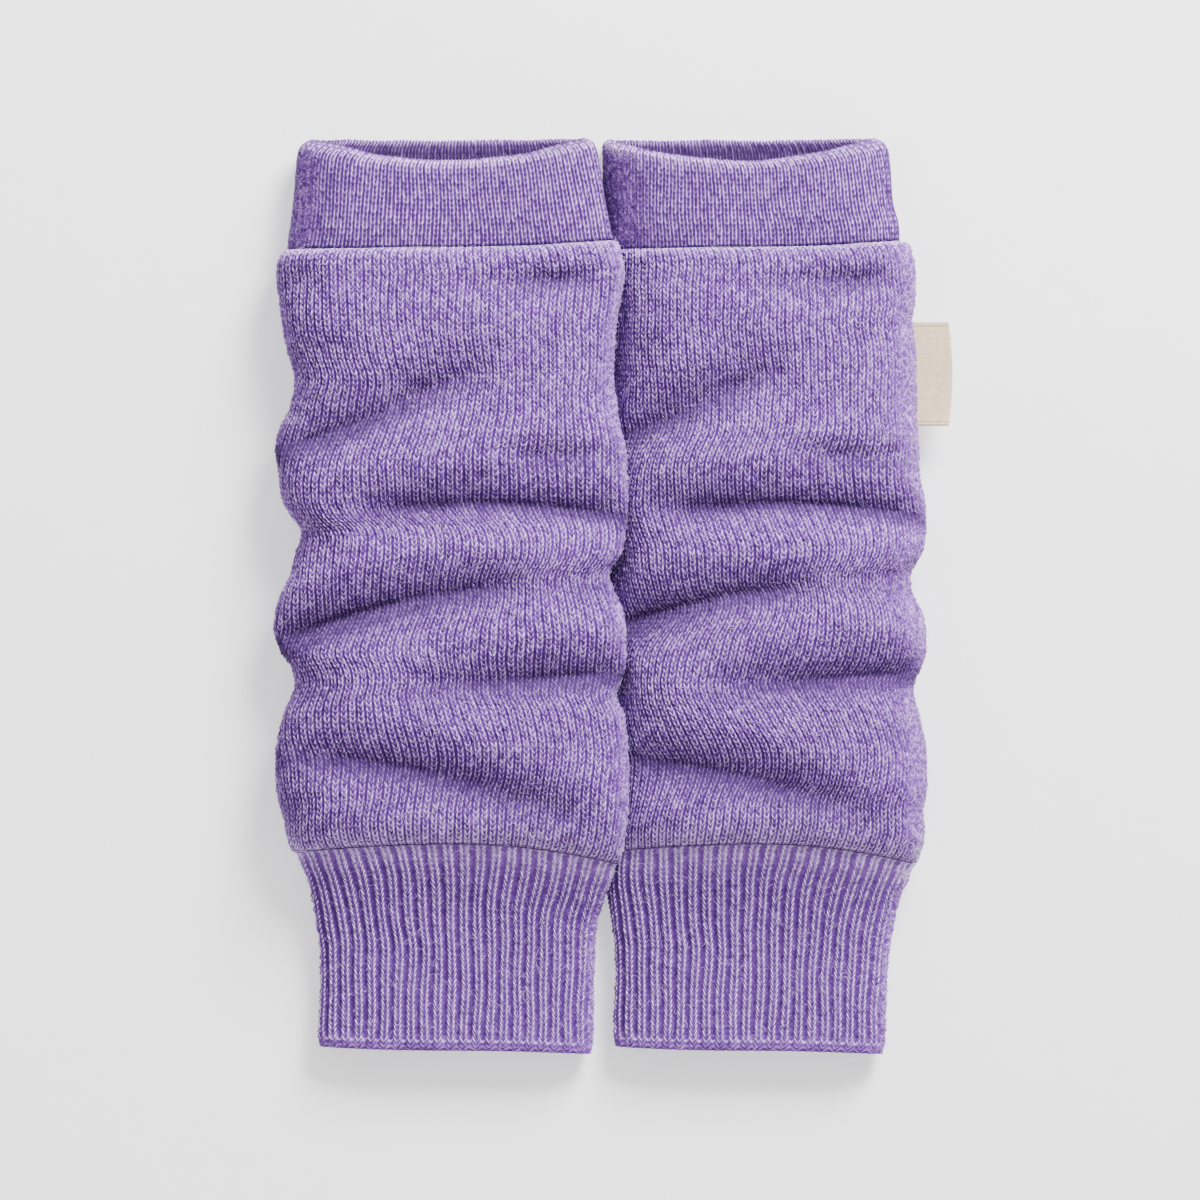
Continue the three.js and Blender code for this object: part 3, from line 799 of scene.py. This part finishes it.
# A knit's shade goes from 0 between the stitches to 1 on the strands' tops, and takes its colours
# at these places; its dark gaps and pale tops are partly painted shade and a painted highlight.
# Fibres and curls change it this much, and so does an edge mark, which paints light.
TONE_PLACES = (0.08, 0.42, 0.68, 0.92)
FIBRE_SHADE = 0.42
CURL_SHADE = 0.06
EDGE_LIGHT = 0.3
RIB_TOP_LIGHT = 0.25

# A strand runs between a wale's middle and its edge, and two of them meet in the V's foot.
STRAND = {"place": 0.5, "sharp": 3.5}
FOOT = {"wide": 1.3, "light": 0.7}
JERSEY_SHADE = {"gain": 0.92, "least": 0.07}

# A rib's strokes with their beat down the rib, and the loops and the beat of its bound hem.
STROKE = {"place": 0.4, "top": 1.15, "sharp": 4.5, "gain": 1.6, "least": 0.12, "crest": 0.1}
BEAT = {"gain": 0.92, "least": 0.08}
LOOP = {"place": 0.22, "arch": 0.26, "sharp": 8.0, "gain": 0.3}
BOUND = {"gain": 0.3, "least": 0.16, "full": 3.0}

# How strongly painted shade darkens the knit in the folds' hollows, at the seams and inside the
# cuffs, and how far matted fibre hides its stitches where it is felted and where it lies in that
# painted shade. The mat's shade is lighter where it is felted, as painted light.
PAINTED_SHADE_STRENGTH = 0.74
MATTED = {"felt_and_side_light": 0.85, "in_painted_shade": 0.15}
MAT_SHADE = {"curls": 0.4, "felt_and_side_light": 0.18, "least": 0.08}


def curl_lines(add, calc):
    """Thin curling lines of loose fibre."""
    lines = []
    for curl in CURLS:
        field = noise(add, curl["scale"], CURL_DETAIL)
        lines.append(calc("*", stripe(calc, field, 0.5, 1.0, curl["thin"]), curl["light"]))
    return calc("MAXIMUM", *lines)


def lone_stitches(add, calc, u, v):
    """A value that differs from one stitch to the next."""
    sides = {0: calc("FLOOR", calc("*", u, 2.0)), 1: calc("FLOOR", calc("+", v, 0.5))}
    cell = add("ShaderNodeCombineXYZ", sides).outputs[0]
    return add("ShaderNodeTexWhiteNoise", {"Vector": cell}, noise_dimensions="2D").outputs["Value"]


def jersey_shade(calc, centre, across, even):
    """Two strands a wale, which meet in a V at each course."""
    strand = stripe(calc, centre, STRAND["place"], 1.0, STRAND["sharp"])
    strand = calc("*", strand, scaled(calc, across, 1 - even, even))
    foot = calc("POWER", calc("*", centre, FOOT["wide"]), 3.0)
    foot = calc("*", calc("-", 1, foot, clamp=True), calc("POWER", across, 2.0))
    foot = calc("*", foot, FOOT["light"] * (1 - even))
    return scaled(calc, calc("MAXIMUM", strand, foot), JERSEY_SHADE["gain"], JERSEY_SHADE["least"])


def rib_shade(calc, centre, across, edge):
    """Two rows of slanting strokes a rib, on a plain ground, and a bound edge at the hem."""
    stroke = stripe(calc, centre, STROKE["place"], STROKE["top"], STROKE["sharp"])
    beat = scaled(calc, calc("POWER", across, 2.0), BEAT["gain"], BEAT["least"])
    shade = scaled(calc, calc("*", stroke, beat), STROKE["gain"], STROKE["least"])
    shade = scaled(calc, calc("-", 1, centre, clamp=True), STROKE["crest"], shade)
    arch = calc("*", centre, LOOP["arch"])
    loop = stripe(calc, calc("-", edge, LOOP["place"]), arch, 1.0, LOOP["sharp"])
    bound = scaled(calc, beat, BOUND["gain"], BOUND["least"])
    bound = scaled(calc, loop, LOOP["gain"], bound)
    return between(calc, shade, bound, calc("*", edge, BOUND["full"], clamp=True))


def matted_shade(calc, shade, felt_and_side_light, painted_shade, curls):
    """The stitches' shade, partly hidden by matted fibre: lighter where felted, as painted light,
    and dark in the painted shade of the folds.
    """
    in_painted_shade = calc("*", calc("POWER", painted_shade, 2.0), MATTED["in_painted_shade"])
    matted = scaled(calc, felt_and_side_light, MATTED["felt_and_side_light"], in_painted_shade, clamp=True)
    mat = scaled(calc, felt_and_side_light, MAT_SHADE["felt_and_side_light"], MAT_SHADE["least"])
    mat = scaled(calc, curls, MAT_SHADE["curls"], mat)
    return between(calc, shade, mat, matted)


def knit_material(name, yarn, knit):
    """Heathered yarn, dark between the stitches and pale along each strand, partly as painted shade and
    a painted highlight, with painted shade in the folds and painted light at some edges.
    """
    material, add, calc = new_material(name)
    marks = [add("ShaderNodeAttribute", attribute_name=mark) for mark in ("felt_and_side_light", "painted_shade", "edge")]
    felt_and_side_light, painted_shade, edge = (mark.outputs["Fac"] for mark in marks)
    fray = noise(add, FRAY_SCALE, 3)
    tangle = scaled(calc, felt_and_side_light, FELT_TANGLE, knit["tangle"])
    u, v = stitch_places(add)
    v = vary(calc, v, noise(add, WANDER_SCALE, 2), tangle)
    u = vary(calc, u, fray, calc("*", tangle, TANGLE_ACROSS))
    centre = calc("*", calc("ABSOLUTE", calc("-", calc("FRACT", u), 0.5)), 2)
    turn = calc("*", calc("+", v, calc("*", centre, knit["slant"])), 2 * math.pi)
    across = calc("*", calc("+", calc("COSINE", turn), 1), 0.5)
    streaks = {0: calc("*", u, STREAKS["across"]), 1: calc("*", v, STREAKS["down"])}
    fibres = noise(add, 1.0, 3, add("ShaderNodeCombineXYZ", streaks).outputs[0])
    curls = curl_lines(add, calc)
    # The edge mark paints light on a leg's shoulder and foot and on a cuff's rim roll; on a rib cuff it
    # marks the bound hem, and below nought paints light on the ribs' tops.
    if knit["ribbed"]:
        shade = rib_shade(calc, centre, across, edge)
        lighter = calc("*", calc("MINIMUM", edge, 0), -RIB_TOP_LIGHT)
    else:
        shade = jersey_shade(calc, centre, across, knit["even"])
        lighter = calc("*", edge, EDGE_LIGHT)
    shade = vary(calc, shade, fibres, FIBRE_SHADE)
    shade = vary(calc, shade, lone_stitches(add, calc, u, v), knit["lone"])
    shade = scaled(calc, curls, CURL_SHADE, shade)
    shade = calc("+", matted_shade(calc, shade, felt_and_side_light, painted_shade, curls), lighter)
    soft_pale = mix_tuple(yarn["middle"], yarn["pale"], 0.5)
    tones = (yarn["dark"], yarn["middle"], soft_pale, yarn["pale"])
    colour = ramp(add, shade, tuple(zip(TONE_PLACES, tones)))
    # Painted shade: the colour is taken towards a dark tone in the folds' hollows, at the seams and
    # inside the cuffs.
    dimmed = calc("*", painted_shade, PAINTED_SHADE_STRENGTH, clamp=True)
    sockets = {0: dimmed, 6: colour, 7: (*yarn["in_painted_shade"], 1)}
    cover(add, {
        "Base Color": add("ShaderNodeMix", sockets, data_type="RGBA").outputs[2],
        "Roughness": scaled(calc, fibres, 0.2, 0.8, clamp=True),
        "Specular IOR Level": 0.12,
        "Sheen Weight": 0.2,
        "Sheen Roughness": 0.4,
        "Sheen Tint": (0.80, 0.66, 0.98, 1),
        "Normal": relief(add, calc("+", shade, calc("*", fray, 0.5)), 0.7, 0.0005),
    })
    return material


def fluff_material(yarn):
    """Loose fibres, paler than the yarn they come from."""
    material, add, calc = new_material("loose fibre")
    grain = noise(add, 260, 2)
    colour = ramp(add, grain, (
        (0.3, mix_tuple(yarn["middle"], yarn["pale"], 0.2)),
        (0.7, mix_tuple(yarn["middle"], yarn["pale"], 0.8)),
    ))
    rough = scaled(calc, grain, 0.2, 0.7, clamp=True)
    cover(add, {"Base Color": colour, "Roughness": rough, "Specular IOR Level": 0.2})
    return material


# Loose fibres: points down each, how long it is, how far it stands off, how sharply it curls, how
# wide it is, how much narrower at its ends and how deep its root is sunk, and how far the knit may
# turn down before none start there.
FIBRE_POINTS = 6
FIBRE_LENGTHS = (2.0, 6.5)
FIBRE_STAND = (0.15, 1.5)
FIBRE_CURL = 4.2
FIBRE_WIDTH = 0.085
FIBRE_TAPER = 0.7
FIBRE_SUNK = 0.1
FIBRE_FACING = {"down": 0.45, "most": 0.6}


def fluff_piece(name, source, count, material):
    """Thin curved ribbons that start in a cloth piece's knit and lie over it."""
    places, normals, pull = FLUFF_ROOTS[source]
    chance = np.clip(normals[:, 2] + FIBRE_FACING["down"], 0, FIBRE_FACING["most"]) * pull
    chosen = rng.choice(len(places), count, p=chance / chance.sum())
    root, out = places[chosen], normals[chosen]
    side = unit(np.cross(out, rng.standard_normal((count, 3))))
    ahead = np.cross(side, out)
    length = rng.uniform(*FIBRE_LENGTHS, count)
    stand = rng.uniform(*FIBRE_STAND, count) ** 1.5
    curl = rng.normal(0, FIBRE_CURL, count)
    bend = rng.normal(0, FIBRE_CURL, count)
    at = root - FIBRE_SUNK * out
    line = []
    for k in range(FIBRE_POINTS):
        part = k / (FIBRE_POINTS - 1)
        turn = curl * part + bend * part * part
        way = ahead * np.cos(turn)[:, None] + side * np.sin(turn)[:, None]
        lift = out * (stand * math.sin(math.pi * (0.1 + 0.8 * part)))[:, None]
        flat = np.cross(way, out) * (FIBRE_WIDTH / 2 * (1 - FIBRE_TAPER * abs(2 * part - 1) ** 3))
        line.append(np.stack([at + lift - flat, at + lift + flat], axis=1))
        at = at + way * (length / (FIBRE_POINTS - 1))[:, None]
    points = np.stack(line, axis=1).reshape(-1, 3)
    points[:, 2] = np.maximum(points[:, 2], LOWEST_FIBRE)
    base = np.arange(count)[:, None] * 2 * FIBRE_POINTS + np.arange(FIBRE_POINTS - 1)[None, :] * 2
    faces = np.stack([base, base + 1, base + 3, base + 2], axis=-1).reshape(-1, 4)
    mesh = bpy.data.meshes.new(name)
    mesh.from_pydata((points * MM).tolist(), [], faces.tolist())
    mesh.materials.append(material)
    mesh.update()
    return add_object(name, mesh)


def mix_tuple(a, b, t):
    return tuple(mix(x, y, t) for x, y in zip(a, b))


# The folded tape, as in the part's source, with its own thickness, the gap in its fold, how far
# it is tucked into the seam, and the share of the gap that is left there.
TAB = {"from": 70.0, "to": 109.3, "edge": 78.1, "bulge": 1.5, "level": 13.6, "droop": 1.4}
TAB_THICKNESS = 0.42
TAB_FOLD_RADIUS = 0.55
TAB_TUCK = 2.4
TAB_NEARER = 0.45

# How the tape waves along its edge and curls at its two ends.
TAB_WAVE = {"high": 0.5, "long": 6.0, "start": 0.8}
TAB_CURL = 0.5

# The tape's points down it, across each layer and round its fold, and their pitch across it.
TAB_ROWS = 60
TAB_COLUMNS = 26
TAB_FOLD_COLUMNS = 11
TAB_PITCH = 0.66

# The twill's pitch, how strongly its slanting lines, its weft and its grain show, and how far
# in from each edge of the tape its selvedge lines run.
TWILL_PITCH = 0.9
TWILL = {"slant": 0.3, "weft": 0.16, "middle": 0.6, "grain": 0.8}
SELVEDGE = {"lines": (0.2, 1.5), "dark": 0.8, "sharp": 2.6}
TAPE_TONES = (
    (0.0, (0.34, 0.24, 0.14)),
    (0.5, (0.62, 0.48, 0.32)),
    (1.0, (0.80, 0.66, 0.47)),
)


def tape_material():
    """Undyed twill tape, with a selvedge down each edge."""
    material, add, calc = new_material("twill tape")
    u, v = stitch_places(add)
    slant = calc("SINE", calc("*", calc("+", u, v), 2 * math.pi / TWILL_PITCH))
    weft = calc("SINE", calc("*", v, 4 * math.pi / TWILL_PITCH))
    weave = calc("+", calc("*", slant, TWILL["slant"]), calc("*", weft, TWILL["weft"]))
    grain = noise(add, 700, 4)
    value = vary(calc, calc("+", weave, TWILL["middle"]), grain, TWILL["grain"])
    middle = (TAB["to"] - TAB["from"]) / 2
    from_edge = calc("-", middle, calc("ABSOLUTE", calc("-", v, middle)))
    for line in SELVEDGE["lines"]:
        value = calc("-", value, stripe(calc, from_edge, line, SELVEDGE["dark"], SELVEDGE["sharp"]))
    cover(add, {
        "Base Color": ramp(add, value, TAPE_TONES),
        "Roughness": scaled(calc, grain, 0.2, 0.7, clamp=True),
        "Specular IOR Level": 0.2,
        "Sheen Weight": 0.15,
        "Normal": relief(add, value, 0.5, 0.0002),
    })
    return material


# The floor is a pale light table, this big and this little below the pair, in metres.
FLOOR_GLOW = 0.62
FLOOR_HALF = 3.0
FLOOR_DROP = 0.0003

# A big soft light from the upper right, and pale light from all round.
KEY = {"place": (0.88, 1.62, 1.12), "size": 0.95, "power": 168.0}
ROUND = {"colour": (0.98, 0.98, 1.0, 1), "strength": 0.94}


def floor_material():
    material, add, _ = new_material("paper floor")
    grain = noise(add, 60, 3)
    cover(add, {
        "Base Color": ramp(add, grain, ((0.0, (0.9, 0.9, 0.9)), (1.0, (0.94, 0.94, 0.93)))),
        "Roughness": 0.9,
        "Emission Color": (1, 1, 1, 1),
        "Emission Strength": FLOOR_GLOW,
    })
    return material


# The camera looks straight down from far off, as the photo's does. The view's width is at the
# cloth's level.
VIEW_WIDTH = 0.456
VIEW_X = -0.0056
VIEW_Y = -0.0013
VIEW_HEIGHT = 3.0
CLOTH_LEVEL = 0.015
CLIP_END = 20
SENSOR = 36.0


def set_camera():
    data = bpy.data.cameras.new("camera")
    data.type = "PERSP"
    data.sensor_width = SENSOR
    data.sensor_height = SENSOR
    data.lens = SENSOR * VIEW_HEIGHT / VIEW_WIDTH
    data.clip_end = CLIP_END
    camera = add_object("camera", data)
    camera.location = (VIEW_X, VIEW_Y, VIEW_HEIGHT + CLOTH_LEVEL)
    bpy.context.scene.camera = camera


def set_stage():
    """The floor, the key light, which points at the pair's middle, and the light from all round."""
    far = FLOOR_HALF
    mesh = bpy.data.meshes.new("floor")
    mesh.from_pydata([(-far, -far, 0), (far, -far, 0), (far, far, 0), (-far, far, 0)], [], [(0, 1, 2, 3)])
    mesh.materials.append(floor_material())
    floor = add_object("floor", mesh)
    floor.location.z = -FLOOR_DROP
    data = bpy.data.lights.new("key", "AREA")
    data.shape = "SQUARE"
    data.size = KEY["size"]
    data.energy = KEY["power"]
    key = add_object("key", data)
    key.location = KEY["place"]
    key.rotation_euler = (-Vector(KEY["place"])).to_track_quat("-Z", "Y").to_euler()
    world = bpy.data.worlds.new("studio")
    world.use_nodes = True
    background = world.node_tree.nodes["Background"]
    background.inputs[0].default_value = ROUND["colour"]
    background.inputs[1].default_value = ROUND["strength"]
    bpy.context.scene.world = world


def tab_layers(tube, ats):
    """The outer and the inner side of the folded tape: two layers, from the side seam out to
    their fold and back."""
    near = read(SIDES, tube["lean"]["outer_column"], ats) + SEAM_GAP - TAB_TUCK
    part = ((ats - ats.mean()) / (ats[-1] - ats[0]))[:, None]
    far = TAB["edge"] - TAB["bulge"] * 4 * part * part
    straight = np.linspace(0, 1, TAB_COLUMNS)
    bend = np.linspace(0, math.pi, TAB_FOLD_COLUMNS)[1:-1]
    flat = np.zeros(TAB_COLUMNS)
    along = np.concatenate([straight, np.ones(len(bend)), straight[::-1]])
    out = np.concatenate([flat, np.sin(bend), flat])
    side = np.concatenate([flat + 1, np.cos(bend), flat - 1])
    reach = far - TAB_FOLD_RADIUS - TAB_THICKNESS
    wave = TAB_WAVE["high"] * np.sin(ats / TAB_WAVE["long"] + TAB_WAVE["start"])[:, None] * along ** 1.5
    curl = TAB_CURL * (2 * part) ** 6 * along
    level = TAB["level"] - TAB["droop"] * along ** 2 + wave + curl
    layers = []
    for grow in (TAB_THICKNESS / 2, -TAB_THICKNESS / 2):
        radius = TAB_FOLD_RADIUS * mix(TAB_NEARER, 1, along ** 3) + grow
        x = tube["axis_x"] + mix(near[:, None], reach, along) + out * radius
        y = LENGTH / 2 - np.broadcast_to(ats[:, None], x.shape)
        layers.append(np.stack([x, y, level + side * radius], axis=-1))
    return layers


def tab_piece(tube, material):
    """The folded tape, closed at both ends."""
    ats = np.linspace(TAB["from"], TAB["to"], TAB_ROWS)
    outer, inner = tab_layers(tube, ats)
    ring = np.concatenate([outer, inner[:, ::-1]], axis=1)
    strip, cols = outer.shape[1], ring.shape[1]
    run = np.arange(strip) * TAB_PITCH
    across = np.concatenate([run, run[::-1]])
    index = np.arange(TAB_ROWS * cols).reshape(TAB_ROWS, cols)
    turned = np.roll(index, -1, axis=1)
    faces = np.stack([index[:-1], index[1:], turned[1:], turned[:-1]], axis=-1).reshape(-1, 4).tolist()
    for c in range(strip - 1):
        mirror = cols - 1 - c
        faces.append(index[0, [c, c + 1, mirror - 1, mirror]].tolist())
        faces.append(index[-1, [mirror, mirror - 1, c + 1, c]].tolist())
    mesh = bpy.data.meshes.new("sewn_tab_cloth")
    mesh.from_pydata((ring.reshape(-1, 3) * MM).tolist(), [], faces)
    layer = mesh.uv_layers.new(name="stitch")
    for loop in mesh.loops:
        r, c = divmod(loop.vertex_index, cols)
        layer.data[loop.index].uv = (float(across[c]), float(ats[r] - TAB["from"]))
    mesh.materials.append(material)
    mesh.shade_smooth()
    mesh.update()
    return add_object("sewn_tab_cloth", mesh)


def dress(piece, node, slot, flat, held):
    """Hides the part of the node that a cloth piece stands for, and hangs the piece on the root."""
    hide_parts(node)
    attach(piece, "root")


# Yarn colours: a dark tone for the painted shade in the folds, at the seams and inside the cuffs,
# then the yarn from between its stitches, dark there partly by painted shade, to the strands' tops,
# pale there partly by a painted highlight.
YARN = {
    "in_painted_shade": (0.036, 0.015, 0.074),
    "dark": (0.060, 0.014, 0.140),
    "middle": (0.205, 0.078, 0.370),
    "pale": (0.82, 0.60, 1.0),
}

# How dark the top cuffs' yarn is beside the legs'.
CUFF_TONE = 0.82

# Each piece's slot, how wide and deep what shows of its cloth is laid flat, in metres, how it is
# held, and how many loose fibres it has.
PARTS = {
    "leg": {"slot": "leg_knit", "flat": (0.312, 0.262), "held": "gathered", "fibres": 3000},
    "top_cuff": {"slot": "cuff_knit", "flat": (0.285, 0.037), "held": "laid", "fibres": 1500},
    "rib_cuff": {"slot": "rib_knit", "flat": (0.252, 0.083), "held": "laid", "fibres": 700},
}
TAB_FLAT = (0.0393, 0.034)

# Marks down a piece, by course from its upper seam: how strong each is and how far it reaches.
# They paint light on a leg's shoulder and foot, a cuff's rim and the ribs' tops, and shade at the
# seams and inside a cuff.
SHOULDER = {"light": 0.8, "reach": 1.8}
LEG_FOOT = {"light": 0.8, "reach": 4.0}
LEG_SEAM = {"dark": 0.9, "reach": 0.8}
CUFF_SEAM_MARK = {"dark": 0.8, "reach": 1.4}
RIM_REACH = 1.6
INSIDE = {"past_rim": 0.5, "over": 2.5}
RIB_TOP_REACH = 5.0


def no_shade(course):
    return np.zeros(course.shape)


def leg_painted_light(course):
    """Painted light on the leg's round shoulder over the cuff's seam, and on its foot's fullness
    over the ribs'.
    """
    shoulder = SHOULDER["light"] * bell(course, 0, SHOULDER["reach"])
    return shoulder + LEG_FOOT["light"] * bell(course, LEG_COURSES, LEG_FOOT["reach"])


def leg_shade(course):
    """The shadow where the leg's foot turns under to its seam."""
    return LEG_SEAM["dark"] * np.clip(1 - (LEG_COURSES - course) / LEG_SEAM["reach"], 0, 1)


def rim_painted_highlight(course):
    """A painted highlight on the cuff's roll over the rim. The cuff's courses run up its outside
    from its seam.
    """
    return bell(course, RIM_COURSE, RIM_REACH)


def cuff_shade(course):
    """The dim inside of the cuff and its seam's shadow."""
    inside = smooth(np.clip((course - RIM_COURSE - INSIDE["past_rim"]) / INSIDE["over"], 0, 1))
    return inside + CUFF_SEAM_MARK["dark"] * np.clip(1 - course / CUFF_SEAM_MARK["reach"], 0, 1)


def hem_and_painted_rib_light(course):
    """The rib cuff's bound hem, and below nought painted light on its ribs' tops."""
    hem = np.clip((course - (RIB_COURSES - HEM_COURSES)) / HEM_COURSES, 0, 1)
    return hem - bell(course, 0, RIB_TOP_REACH)


# Where a leg's stations lie closer, at its shoulder and its foot, and how far apart they lie
# between the two. Where the knit of a top cuff's inside ends, and where that inside starts.
LEG_STATIONS = {"shoulder": 52.0, "foot": 258.0, "step": 0.5}
CUFF_INSIDE = {"knit_end": 36.0, "plain": 40.0}


def leg_plan():
    top, foot = CUFF_SEAM + SEAM_GAP, RIB_SEAM - SEAM_GAP
    shoulder, turn, step = LEG_STATIONS["shoulder"], LEG_STATIONS["foot"], LEG_STATIONS["step"]
    outer = np.concatenate([
        np.linspace(top, shoulder, 36),
        np.arange(shoulder + step, turn, step),
        np.linspace(turn, foot, 34),
    ])
    return {
        **JERSEY_STITCH,
        "ats": outer,
        "insets": np.zeros(len(outer)),
        "inner_ats": np.concatenate([[foot], np.linspace(foot - 4, top + 4, 38), [top]]),
        "wall": LEG_WALL,
        "wales": LEG_WALES,
        "courses": LEG_COURSES,
        "swell": 0.5,
        "edge": leg_painted_light,
        "shade": leg_shade,
    }


def cuff_plan():
    """The top cuff's knit runs up its outside, over the rim and down its inside."""
    fold = RIM + CUFF_WALL / 2
    turn = np.linspace(0, math.pi, 9)[1:-1]
    outer = np.linspace(CUFF_SEAM, fold, 64)
    inner = np.linspace(fold, CUFF_INSIDE["knit_end"], 48)
    ats = np.concatenate([outer, fold - CUFF_WALL / 2 * np.sin(turn), inner])
    insets = np.concatenate([
        np.zeros(len(outer)),
        CUFF_WALL / 2 * (1 - np.cos(turn)),
        np.full(len(inner), CUFF_WALL),
    ])
    return {
        **JERSEY_STITCH,
        "drop": tuple(-drop for drop in JERSEY_STITCH["drop"]),
        "ats": ats,
        "insets": insets,
        "inner_ats": np.array([CUFF_INSIDE["plain"]]),
        "wall": CUFF_WALL,
        "wales": CUFF_WALES,
        "courses": CUFF_COURSES,
        "swell": 0.35,
        "edge": rim_painted_highlight,
        "shade": cuff_shade,
    }


def rib_plan():
    outer = np.linspace(RIB_SEAM, HEM, 180)
    return {
        **RIB_STITCH,
        "ats": outer,
        "insets": np.zeros(len(outer)),
        "inner_ats": np.linspace(HEM - 0.5, RIB_SEAM, 14),
        "wall": RIB_WALL,
        "wales": RIB_COUNT,
        "courses": RIB_COURSES,
        "swell": 0.3,
        "edge": hem_and_painted_rib_light,
        "shade": no_shade,
    }


def build():
    set_camera()
    set_stage()
    cuff_yarn = {tone: mix_tuple((0, 0, 0), colour, CUFF_TONE) for tone, colour in YARN.items()}
    makes = {
        "leg": (leg_plan, knit_material("leg knit", YARN, JERSEY)),
        "top_cuff": (cuff_plan, knit_material("cuff knit", cuff_yarn, FINE_JERSEY)),
        "rib_cuff": (rib_plan, knit_material("rib knit", YARN, RIB)),
    }
    fibre = fluff_material(YARN)
    tubes = {
        "left": {"axis_x": LEFT_AXIS_X, "lean": LEAN_LEFT},
        "right": {"axis_x": RIGHT_AXIS_X, "lean": LEAN_RIGHT},
    }
    for side, tube in tubes.items():
        for part, (plan, knit) in makes.items():
            node = side + "_" + part
            cloth = knit_piece(node + "_cloth", tube, plan(), knit)
            dress(cloth, node, PARTS[part]["slot"], PARTS[part]["flat"], PARTS[part]["held"])
        for part, cut in PARTS.items():
            node = side + "_" + part
            fluff = fluff_piece(node + "_fluff", node + "_cloth", cut["fibres"], fibre)
            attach(fluff, "root")
    tab = tab_piece(tubes["right"], tape_material())
    dress(tab, "sewn_tab", "tab_tape", TAB_FLAT, "folded")


build()
